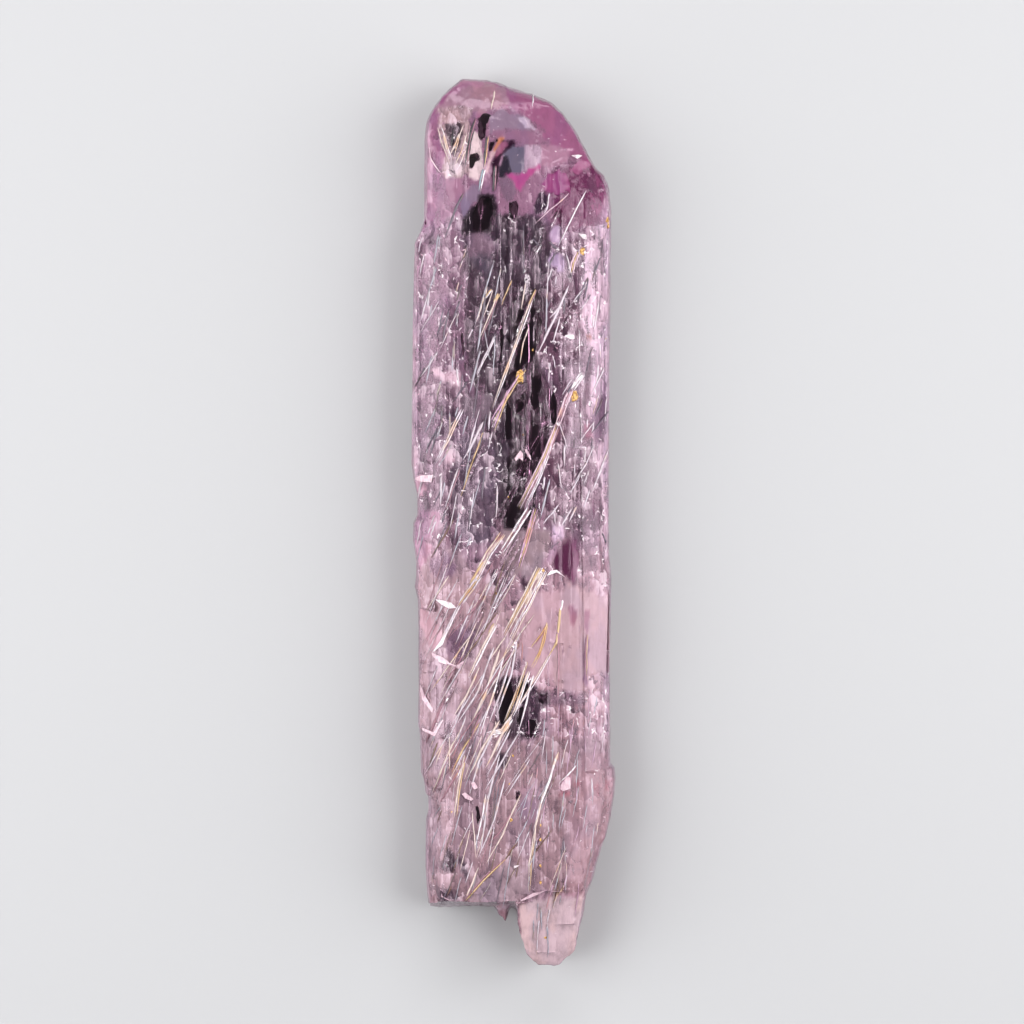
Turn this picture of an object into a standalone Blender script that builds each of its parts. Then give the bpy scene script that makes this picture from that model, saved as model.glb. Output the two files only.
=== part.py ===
"""A kunzite crystal: one flattened, striated prism with an etched, rounded top and a broken lower end.

The crystal lies on its broad back face. +X runs across it, +Y along it to the rounded top, and +Z out of its
broad front face. The origin is on the ground under the middle of its box.
"""

import math

import bmesh
import bpy
from mathutils import Matrix, Vector
from mathutils.bvhtree import BVHTree

# Every size below is in millimetres, and MM takes it to Blender's metres.
MM = 0.001

WIDTH = 24.0
LENGTH = 104.0
THICKNESS = 10.6

# The crystal's outline from the front, as (x, y), once round from the top and down the left edge
LEFT_EDGE = [
    (-6.1, 52.0), (-6.9, 51.3), (-8.2, 50.2), (-9.4, 48.6), (-10.2, 47.1), (-10.45, 45.0), (-10.5, 35.4),
    (-11.0, 33.9), (-11.6, 32.7), (-11.8, 23.6), (-12.0, 6.8), (-11.7, 4.8), (-11.3, 3.1), (-11.3, 0.9),
    (-11.75, 0.0), (-11.8, -2.0), (-11.4, -4.6), (-11.4, -6.2), (-11.6, -7.5), (-11.2, -9.1),
    (-11.2, -23.6), (-11.0, -25.0), (-10.9, -29.2), (-10.5, -30.4), (-10.4, -31.5), (-10.05, -31.9),
    (-10.0, -33.6), (-10.3, -34.6), (-10.35, -40.0), (-10.0, -45.1), (-9.8, -45.6),
]
BROKEN_END = [
    (-7.9, -45.45), (-4.7, -45.3), (-1.65, -45.35), (-1.25, -46.4), (-0.75, -47.0), (-0.35, -46.65),
    (0.15, -46.55), (0.5, -47.2), (0.95, -48.8), (1.35, -50.3), (2.0, -50.9), (2.9, -51.9), (3.7, -51.8),
    (4.7, -52.0), (5.5, -51.8), (5.9, -51.2), (6.7, -50.7), (7.35, -50.0), (7.5, -49.2), (7.95, -47.2),
]
RIGHT_EDGE = [
    (8.4, -45.7), (8.55, -43.7), (9.4, -41.6), (9.8, -39.9), (10.4, -37.9), (10.9, -36.8), (11.4, -34.6),
    (11.85, -31.9), (12.0, -30.0), (11.85, -28.7), (11.4, -28.2), (11.35, -16.3), (11.5, -6.5),
    (11.25, -3.3), (11.25, 11.6), (11.4, 27.1), (11.5, 36.6), (11.2, 39.3), (10.6, 40.7), (9.6, 41.6),
    (8.6, 43.4), (7.3, 45.9), (5.9, 47.8), (4.4, 49.3), (2.4, 50.1), (-0.5, 51.0), (-2.0, 51.6), (-3.2, 51.8),
]
BREAK_Y = -45.5

# How far the outline stands back at each height, as (z, left side, right side, top). The steep stretches at the
# front and the back are the two directions in which the crystal cleaves, and the top is rounder.
LEVELS = [
    (0.0, 2.8, 3.1, 5.4), (1.1, 1.75, 2.0, 3.0), (2.6, 0.4, 0.55, 1.2), (4.0, 0.05, 0.1, 0.3),
    (5.2, 0.0, 0.0, 0.0), (6.6, 0.05, 0.1, 0.35), (7.8, 0.35, 0.5, 1.1), (9.3, 1.6, 1.9, 2.7),
    (THICKNESS, 2.8, 3.2, 5.2),
]

# The growth steps that run the whole length of the two broad faces, as (x, z) from the left
FRONT_STEPS = [
    (-12.6, 9.9), (-10.3, 9.95), (-10.2, 10.12), (-9.5, 10.12), (-9.4, 9.98), (-8.8, 9.98), (-8.7, 10.25),
    (-7.9, 10.25), (-7.8, 10.44), (-6.6, 10.44), (-6.5, 10.22), (-5.9, 10.22), (-5.8, 10.34), (-5.2, 10.34),
    (-5.1, 10.52), (-3.5, 10.54), (-3.4, 10.36), (-2.6, 10.36), (-2.5, THICKNESS), (0.6, THICKNESS),
    (0.7, 10.48), (1.5, 10.48), (1.6, 10.32), (2.4, 10.32), (2.5, 10.44), (3.1, 10.44), (3.2, 10.2),
    (4.3, 10.2), (4.4, 10.36), (5.6, 10.36), (5.7, 10.16), (6.5, 10.16), (6.6, 9.96), (7.6, 9.92),
    (7.7, 10.04), (8.3, 10.04), (8.4, 9.75), (12.6, 9.65),
]
BACK_STEPS = [
    (-12.6, 0.4), (-8.8, 0.35), (-8.7, 0.0), (-5.5, 0.0), (-5.4, 0.2), (-3.8, 0.2), (-3.7, 0.0), (1.6, 0.0),
    (1.7, 0.22), (3.1, 0.22), (3.2, 0.0), (7.9, 0.0), (8.0, 0.25), (12.6, 0.3),
]

# Wedges taken off the broken end, as the (y, z) where each starts, its turn in degrees about X, and its x range.
# They let the break run in from the broad faces, and thin the tongue that is left standing at the right.
BREAKS_FRONT = [
    (-43.7, 10.7, -78.0, (-14.0, 0.3)), (-43.9, 10.3, -27.0, (-1.0, 2.6)), (-42.6, 10.0, -15.0, (2.2, 14.0)),
    (-46.6, 8.5, -26.0, (5.1, 14.0)), (-50.0, 7.6, -40.0, (-2.0, 14.0)),
]
BREAKS_BACK = [
    (-44.9, -0.1, 62.0, (-14.0, -0.6)), (-43.6, -0.1, 16.0, (-1.4, 14.0)), (-50.0, 1.9, 38.0, (-2.0, 14.0)),
    (-46.0, 0.9, 24.0, (-2.0, 2.2)),
]

# Etch grooves, pointed at both ends, that all lean the same way across the broad faces, as the (x, y) of the
# middle, the length, the width and the depth
GROOVE_LEAN = 62.0
FRONT_GROOVES = [
    (-4.9, -5.6, 27.0, 1.5, 0.60), (-2.6, -9.6, 34.0, 1.2, 0.65), (-6.6, -14.6, 22.0, 1.6, 0.60),
    (-8.0, -20.0, 17.0, 1.3, 0.70), (-3.4, -21.0, 24.0, 1.0, 0.50), (-1.2, -16.2, 19.0, 0.8, 0.40),
    (-5.6, 5.2, 15.0, 1.0, 0.50), (2.9, 3.2, 25.0, 1.0, 0.55), (1.0, -3.0, 13.0, 0.7, 0.35),
    (-7.2, -30.6, 14.0, 0.9, 0.45), (-0.6, -33.0, 20.0, 0.8, 0.40), (4.2, -21.5, 16.0, 0.7, 0.35),
    (5.6, -7.4, 12.0, 0.8, 0.35), (-1.8, 17.6, 18.0, 0.8, 0.40), (-4.8, 26.4, 12.0, 0.8, 0.35),
    (4.0, 34.0, 14.0, 0.7, 0.35), (5.2, 14.5, 13.0, 0.7, 0.35), (1.6, 24.0, 11.0, 0.6, 0.30),
    (6.6, 24.5, 10.0, 0.7, 0.30), (4.6, -33.6, 12.0, 0.7, 0.35), (-4.2, -39.0, 11.0, 0.7, 0.35),
]
BACK_GROOVES = [
    (-2.6, 22.0, 26.0, 1.2, 0.50), (4.6, 30.0, 14.0, 0.8, 0.35), (1.8, 8.0, 18.0, 0.9, 0.40),
    (-6.4, 3.0, 16.0, 1.0, 0.45), (5.0, -8.0, 24.0, 1.1, 0.45), (-4.0, -18.0, 28.0, 1.4, 0.55),
    (1.4, -30.0, 20.0, 0.9, 0.40), (-6.6, -35.0, 12.0, 0.8, 0.35),
]

# Four-sided etch pits, widest on the rounded top, as (x, y, width)
PITS = [
    (-6.2, 47.6, 1.5), (-3.6, 48.9, 1.2), (-0.6, 48.4, 1.6), (2.6, 47.2, 1.3), (5.0, 44.8, 1.5),
    (7.0, 41.4, 1.2), (-8.2, 44.4, 1.2), (8.3, 37.6, 1.3), (-7.0, 39.4, 1.0), (-8.8, 29.0, 1.1),
    (-6.0, 33.2, 0.9), (-8.6, 20.6, 1.2), (-6.6, 14.2, 0.9), (-8.9, 10.6, 1.0), (7.9, 30.4, 1.0),
    (7.0, 19.4, 0.9), (8.2, 8.4, 1.1), (7.6, -1.6, 0.9), (6.9, -14.4, 1.0), (7.8, -26.0, 1.2),
    (2.2, -37.6, 1.0), (-2.6, -36.0, 0.9), (-8.0, -39.6, 1.0),
]
PIT_SLOPE = 0.4
LENS_LIFT = 0.047

# Flat ledges where a growth layer stops short, as the (x, y) of the middle, the width, the length, the depth below
# the highest level of the face and a turn in degrees about Z
FRONT_LEDGES = [
    (9.9, 2.0, 4.0, 62.0, 1.15, 0.8), (-10.6, 20.5, 3.6, 27.0, 1.05, -1.0), (5.2, 49.0, 9.0, 12.0, 0.95, 30.0),
    (4.7, -25.0, 1.6, 22.0, 0.75, -1.2), (-0.9, 30.0, 1.1, 24.0, 0.30, 1.0), (-6.9, 12.0, 1.0, 30.0, 0.70, 0.6),
    (-4.4, -30.0, 1.3, 26.0, 0.40, -0.8), (1.1, -26.0, 1.0, 34.0, 0.45, 1.0), (2.7, 14.0, 0.9, 26.0, 0.60, -0.9),
    (6.1, 34.0, 1.2, 15.0, 0.85, 1.4), (-8.6, -14.0, 1.0, 22.0, 0.85, 1.2), (7.2, -8.0, 0.9, 28.0, 0.95, -0.7),
]
BACK_LEDGES = [
    (-9.9, -16.0, 3.6, 44.0, 0.65, 0.9), (9.6, 14.0, 3.4, 40.0, 0.50, -1.1), (6.6, -28.0, 1.1, 26.0, 0.20, 1.0),
    (-7.2, 30.0, 1.2, 24.0, 0.25, -1.0), (0.4, 38.0, 0.9, 18.0, 0.20, 1.2), (4.4, 12.0, 0.8, 20.0, 0.18, -0.8),
]

# Cleavage terraces broken out of the left edge, as the lower and the upper end, the depth and a turn in degrees
CLEAVAGE = 46.5
TERRACES = [
    (0.4, 5.0, 0.50, 5.0), (-9.6, -2.2, 0.45, -5.0), (-16.4, -10.2, 0.75, -6.0), (-24.6, -17.4, 0.60, 5.0),
    (-33.4, -26.0, 0.55, -4.0), (-41.0, -35.0, 0.40, 4.0),
]
TERRACE_X = -10.55
TERRACE_Z = 9.1

# The shell-shaped hollow in the broken end, as an ellipsoid
SCOOP_CENTRE = (-3.6, -47.3, 12.3)
SCOOP_RADII = (6.9, 4.7, 4.7)

CUTTER_SIZE = 12.0

COLOUR = (0.80, 0.56, 0.70, 1.0)
ROUGHNESS = 0.18
REFRACTION = 1.66


def collection(name):
    made = bpy.data.collections.new(name)
    bpy.context.scene.collection.children.link(made)
    return made


def add_object(name, bm, home, helper=True):
    """Turns a bmesh in millimetres into an object in metres. A helper only cuts, and isn't shown."""
    bmesh.ops.recalc_face_normals(bm, faces=bm.faces)
    mesh = bpy.data.meshes.new(name)
    bm.to_mesh(mesh)
    bm.free()
    mesh.transform(Matrix.Scale(MM, 4))
    obj = bpy.data.objects.new(name, mesh)
    home.objects.link(obj)
    obj.hide_render = helper
    obj.display_type = "WIRE" if helper else "SOLID"
    return obj


def loft(rings):
    """A closed skin over rings that have the same number of points, with a flat cap on each end."""
    bm = bmesh.new()
    rows = [[bm.verts.new(point) for point in ring] for ring in rings]
    for row, after in zip(rows, rows[1:]):
        for i in range(len(row)):
            j = (i + 1) % len(row)
            bm.faces.new((row[i], row[j], after[j], after[i]))
    bm.faces.new(rows[0])
    bm.faces.new(rows[-1])
    return bm


def outline_body():
    """The outline carried up through the levels, standing back from it at the front and the back."""
    outline = LEFT_EDGE + BROKEN_END + RIGHT_EDGE
    rings = []
    for z, left, right, top in LEVELS:
        ring = []
        for x, y in outline:
            side = left if x < 0 else right
            across = 1 - side / (WIDTH / 2)
            along = 1 - top / (LENGTH / 2 - BREAK_Y)
            ring.append((x * across, BREAK_Y + (y - BREAK_Y) * along, z))
        rings.append(ring)
    return loft(rings)


def stepped_bar():
    """A straight bar with the growth steps of both broad faces, which trims the outline body."""
    section = BACK_STEPS + FRONT_STEPS[::-1]
    return loft([[(x, y, z) for x, z in section] for y in (-LENGTH, LENGTH)])


def box(size, matrix):
    bm = bmesh.new()
    bmesh.ops.create_cube(bm, size=1.0, matrix=matrix @ Matrix.Diagonal((*size, 1.0)))
    return bm


def wedge(y, z, turn, x_range, outward):
    """A box with one edge at (y, z). Its face towards the crystal slopes down the broken end by the turn."""
    low, high = x_range
    centre = Matrix.Translation(((low + high) / 2, y, z))
    tilt = Matrix.Rotation(math.radians(-turn), 4, "X")
    shift = Matrix.Translation((0, -CUTTER_SIZE / 2, outward * CUTTER_SIZE / 2))
    return box((high - low, CUTTER_SIZE, CUTTER_SIZE), centre @ tilt @ shift)


def front_point(x, y, skin):
    """Where the front surface is at (x, y), and which way it faces there."""
    point, normal, _, _ = skin.ray_cast(Vector((x, y, THICKNESS * 2)) * MM, Vector((0, 0, -1)))
    return Matrix.Translation(point / MM), normal.to_track_quat("Z", "Y").to_matrix().to_4x4()


def lens(place, length, width, depth):
    """A stretched octahedron, its widest level just above a face, that cuts a pit or a groove with pointed ends."""
    bm = bmesh.new()
    radii = Matrix.Translation((0, 0, LENS_LIFT)) @ Matrix.Diagonal((length / 2, width / 2, depth, 1.0))
    bmesh.ops.create_uvsphere(bm, u_segments=4, v_segments=2, radius=1.0, matrix=place @ radii)
    return bm


def ledge(x, y, width, length, depth, turn, face_z, outward):
    place = Matrix.Translation((x, y, face_z + outward * (CUTTER_SIZE / 2 - depth)))
    return box((width, length, CUTTER_SIZE), place @ Matrix.Rotation(math.radians(turn), 4, "Z"))


def terrace(low, high, depth, turn):
    """A box whose inner face is a cleavage plane, let into the bevel of the left edge."""
    place = (
        Matrix.Translation((TERRACE_X, (low + high) / 2, TERRACE_Z))
        @ Matrix.Rotation(math.radians(-CLEAVAGE), 4, "Y")
        @ Matrix.Rotation(math.radians(turn), 4, "Z")
        @ Matrix.Translation((0, 0, CUTTER_SIZE / 2 - depth))
    )
    return box((CUTTER_SIZE / 2, high - low, CUTTER_SIZE), place)


def scoop():
    bm = bmesh.new()
    place = Matrix.Translation(SCOOP_CENTRE) @ Matrix.Diagonal((*SCOOP_RADII, 1.0))
    bmesh.ops.create_uvsphere(bm, u_segments=28, v_segments=14, radius=1.0, matrix=place)
    return bm


def kunzite_material():
    material = bpy.data.materials.new("Kunzite")
    material.use_nodes = True
    shader = material.node_tree.nodes["Principled BSDF"]
    shader.inputs["Base Color"].default_value = COLOUR
    shader.inputs["Roughness"].default_value = ROUGHNESS
    shader.inputs["Metallic"].default_value = 0.0
    shader.inputs["IOR"].default_value = REFRACTION
    shader.inputs["Transmission Weight"].default_value = 1.0
    return material


def boolean(obj, operation, tools):
    modifier = obj.modifiers.new(operation.title(), "BOOLEAN")
    modifier.operation = operation
    modifier.solver = "EXACT"
    modifier.operand_type = "COLLECTION"
    modifier.collection = tools


def main():
    for obj in list(bpy.data.objects):
        bpy.data.objects.remove(obj)
    home = collection("Kunzite crystal")
    trimming = collection("Trimming")
    cutters = collection("Cutters")

    crystal = add_object("crystal", outline_body(), home, helper=False)
    crystal.data.materials.append(kunzite_material())
    add_object("stepped_bar", stepped_bar(), trimming)
    boolean(crystal, "INTERSECT", trimming)
    skin = BVHTree.FromObject(crystal, bpy.context.evaluated_depsgraph_get())

    for i, values in enumerate(BREAKS_FRONT):
        add_object(f"break_front_{i + 1}", wedge(*values, 1), cutters)
    for i, values in enumerate(BREAKS_BACK):
        add_object(f"break_back_{i + 1}", wedge(*values, -1), cutters)
    for i, values in enumerate(FRONT_LEDGES):
        add_object(f"front_ledge_{i + 1}", ledge(*values, THICKNESS, 1), cutters)
    for i, values in enumerate(BACK_LEDGES):
        add_object(f"back_ledge_{i + 1}", ledge(*values, 0.0, -1), cutters)
    for i, values in enumerate(TERRACES):
        add_object(f"terrace_{i + 1}", terrace(*values), cutters)
    lean = Matrix.Rotation(math.radians(GROOVE_LEAN), 4, "Z")
    for i, (x, y, *sizes) in enumerate(FRONT_GROOVES):
        place, _ = front_point(x, y, skin)
        add_object(f"front_groove_{i + 1}", lens(place @ lean, *sizes), cutters)
    for i, (x, y, *sizes) in enumerate(BACK_GROOVES):
        add_object(f"back_groove_{i + 1}", lens(Matrix.Translation((x, y, 0)) @ lean, *sizes), cutters)
    for i, (x, y, width) in enumerate(PITS):
        place, facing = front_point(x, y, skin)
        add_object(f"pit_{i + 1}", lens(place @ facing, width, width, width * PIT_SLOPE), cutters)
    add_object("scoop", scoop(), cutters)

    boolean(crystal, "DIFFERENCE", cutters)


main()
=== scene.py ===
import math
import random
import time

import bmesh
import bpy
from mathutils import Matrix, Vector, noise
from mathutils.bvhtree import BVHTree
from mathutils.kdtree import KDTree


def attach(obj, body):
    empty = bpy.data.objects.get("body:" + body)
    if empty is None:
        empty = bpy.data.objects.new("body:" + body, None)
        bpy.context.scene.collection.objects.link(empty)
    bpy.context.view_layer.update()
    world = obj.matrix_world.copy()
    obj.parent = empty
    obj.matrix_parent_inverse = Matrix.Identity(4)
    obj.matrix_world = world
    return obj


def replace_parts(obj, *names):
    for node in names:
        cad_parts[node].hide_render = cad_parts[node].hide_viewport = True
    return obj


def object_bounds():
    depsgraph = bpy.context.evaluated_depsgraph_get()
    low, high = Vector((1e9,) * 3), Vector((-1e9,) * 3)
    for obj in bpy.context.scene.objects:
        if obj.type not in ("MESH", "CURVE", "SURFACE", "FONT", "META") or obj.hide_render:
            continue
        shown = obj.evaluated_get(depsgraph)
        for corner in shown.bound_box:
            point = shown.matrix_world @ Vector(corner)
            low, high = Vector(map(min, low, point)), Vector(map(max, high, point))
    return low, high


startTime = time.time()
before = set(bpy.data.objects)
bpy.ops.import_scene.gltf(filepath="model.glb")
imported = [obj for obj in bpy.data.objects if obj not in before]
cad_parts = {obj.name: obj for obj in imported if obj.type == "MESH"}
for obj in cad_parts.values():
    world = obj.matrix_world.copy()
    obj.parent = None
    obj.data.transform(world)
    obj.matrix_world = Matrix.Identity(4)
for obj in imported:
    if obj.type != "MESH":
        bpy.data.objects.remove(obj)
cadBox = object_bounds()
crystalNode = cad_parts["crystal"]
mm = 0.001


def report(stage):
    print(f"[kunzite] {time.time() - startTime:5.1f} s  {stage}")


class Socket:
    # wraps a node's output, so that shader maths reads as plain expressions
    def __init__(self, shader, out):
        self.shader = shader
        self.out = out

    def _math(self, operation, *values):
        return self.shader.add("ShaderNodeMath", {"operation": operation}, dict(enumerate(values)))

    def __add__(self, other):
        return self._math("ADD", self, other)

    def __sub__(self, other):
        return self._math("SUBTRACT", self, other)

    def __mul__(self, other):
        return self._math("MULTIPLY", self, other)

    def __rsub__(self, other):
        return self._math("SUBTRACT", other, self)

    __radd__ = __add__
    __rmul__ = __mul__

    def clamped(self):
        made = self._math("ADD", self, 0.0)
        made.out.node.use_clamp = True
        return made

    def band(self, low, high):
        # 0 at low, 1 at high and smooth between, with low above high turned round
        return self.shader.add(
            "ShaderNodeMapRange",
            {"interpolation_type": "SMOOTHSTEP"},
            {"Value": self, "From Min": low, "From Max": high, "To Min": 0.0, "To Max": 1.0},
        )


class Shader:
    def __init__(self, name):
        self.material = bpy.data.materials.new(name)
        self.material.use_nodes = True
        self.tree = self.material.node_tree
        self.principled = self.tree.nodes["Principled BSDF"]
        self.output = self.tree.nodes["Material Output"]

    def put(self, socket, value):
        if isinstance(value, Socket):
            self.tree.links.new(value.out, socket)
        else:
            socket.default_value = value

    def add(self, kind, settings=None, values=None, output=0):
        node = self.tree.nodes.new(kind)
        for name, value in (settings or {}).items():
            setattr(node, name, value)
        for name, value in (values or {}).items():
            self.put(node.inputs[name], value)
        return Socket(self, node.outputs[output])

    def mix(self, factor, first, second):
        made = self.add("ShaderNodeMix", {"data_type": "RGBA"})
        node = made.out.node
        self.put(node.inputs[0], factor)
        self.put(node.inputs[6], first)
        self.put(node.inputs[7], second)
        return Socket(self, node.outputs[2])

    def scaled(self, colour, factors):
        return self.add("ShaderNodeVectorMath", {"operation": "MULTIPLY"}, {0: colour, 1: factors})

    def coords(self, scale=(1, 1, 1), turn=(0, 0, 0)):
        # object coordinates in mm
        place = self.add("ShaderNodeTexCoord", output=3)
        return self.add(
            "ShaderNodeMapping", None, {"Vector": place, "Rotation": turn, "Scale": [v / mm for v in scale]}
        )

    def attribute(self, name):
        # the colour and the alpha of an attribute of the mesh
        made = self.add("ShaderNodeAttribute", {"attribute_name": name})
        return made, Socket(self, made.out.node.outputs[3])

    def noise(self, scale, stretch=(1, 1, 1), turn=(0, 0, 0), detail=3.0, roughness=0.5, distortion=0.0):
        values = {
            "Vector": self.coords(stretch, turn),
            "Scale": scale,
            "Detail": detail,
            "Roughness": roughness,
            "Distortion": distortion,
        }
        return self.add("ShaderNodeTexNoise", None, values)

    def bump(self, height, strength, distance, normal=None):
        values = {"Height": height, "Strength": strength, "Distance": distance}
        if normal:
            values["Normal"] = normal
        return self.add("ShaderNodeBump", None, values)

    def streaks(self, scale, stretch, lean=0, detail=3.0, roughness=0.5):
        # noise drawn out along the crystal, leaning by an angle in degrees
        return self.noise(scale, stretch, (0, 0, math.radians(lean)), detail, roughness)

    def set(self, **values):
        for name, value in values.items():
            self.put(self.principled.inputs[name.replace("_", " ")], value)


def meshOf(name, bm):
    mesh = bpy.data.meshes.new(name)
    bm.to_mesh(mesh)
    bm.free()
    return mesh


def addObject(name, data):
    made = bpy.data.objects.new(name, data)
    bpy.context.scene.collection.objects.link(made)
    return made


# the body
body = {
    # the net that carries the relief, finer along the dome
    "mergeReach": 2e-6,
    "flatAngle": 0.4,
    "cellAcross": 0.21 * mm,
    "cellAlong": 0.55 * mm,
    "cellDeep": 0.5 * mm,
    "fineFrom": 33.0 * mm,
    "fineTo": 48.0 * mm,
    "sharpAngle": 30.0,
    # smoothing of the front, the dome and the tongue
    "evenness": 0.75,
    "evenRounds": 3,
    "evenReach": 1.2 * mm,
    "evenReachWide": 2.4 * mm,
    "domeFrom": 36.0 * mm,
    "domeRounds": 10,
    "tongueTo": -44.5 * mm,
    "tongueRounds": 40,
    # depths of the relief
    "leastDepth": 0.06 * mm,
    "striation": 0.03 * mm,
    "terrace": 0.10 * mm,
    "etch": 0.10 * mm,
    "hackle": 0.22 * mm,
    # middle across, reach to the sides and depth in mm
    "tooth": (-1.25, 1.15, 1.9),
    # the glass
    "clearColour": (0.98, 0.94, 0.97, 1.0),
    "ior": 1.66,
    "glossTint": (0.96, 0.76, 0.88, 1.0),
    "absorbColour": (0.88, 0.50, 0.74, 1.0),
    "absorbDensity": 70.0,
    # frosted colours, and what every one of them is darkened by
    "shade": (0.60, 0.445, 0.52),
    "mauve": (0.50, 0.35, 0.47),
    "pink": (0.76, 0.58, 0.61),
    "pale": (0.70, 0.54, 0.62, 1.0),
    # the colour of the painted glints along the shard edges
    "glintStroke": (0.95, 0.86, 0.90, 1.0),
    "dusk": (0.10, 0.06, 0.10, 1.0),
    # frosted colour, frosting and grain of the steep sides, a painted rim highlight: pale along the prism,
    # mauve on the dome
    "sideHighlight": (0.80, 0.60, 0.71, 0.66, 0.45, 0.05, 0.14),
    "sideHighlightDome": (0.48, 0.25, 0.38, 0.86, 0.15, 0.05, 0.15),
}

# how strongly upright streaks, leaning streaks and facets show
grains = {
    "smooth": (0.05, 0.04, 0.06),
    "fine": (0.18, 0.12, 0.22),
    "streaked": (0.30, 0.28, 0.52),
    "leaning": (0.20, 0.55, 0.45),
    "faceted": (0.30, 0.28, 0.52),
    "deep": (0.55, 0.55, 0.45),
    "soft": (0.12, 0.34, 0.28),
    "grooved": (0.24, 0.04, 0.04),
}
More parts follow.
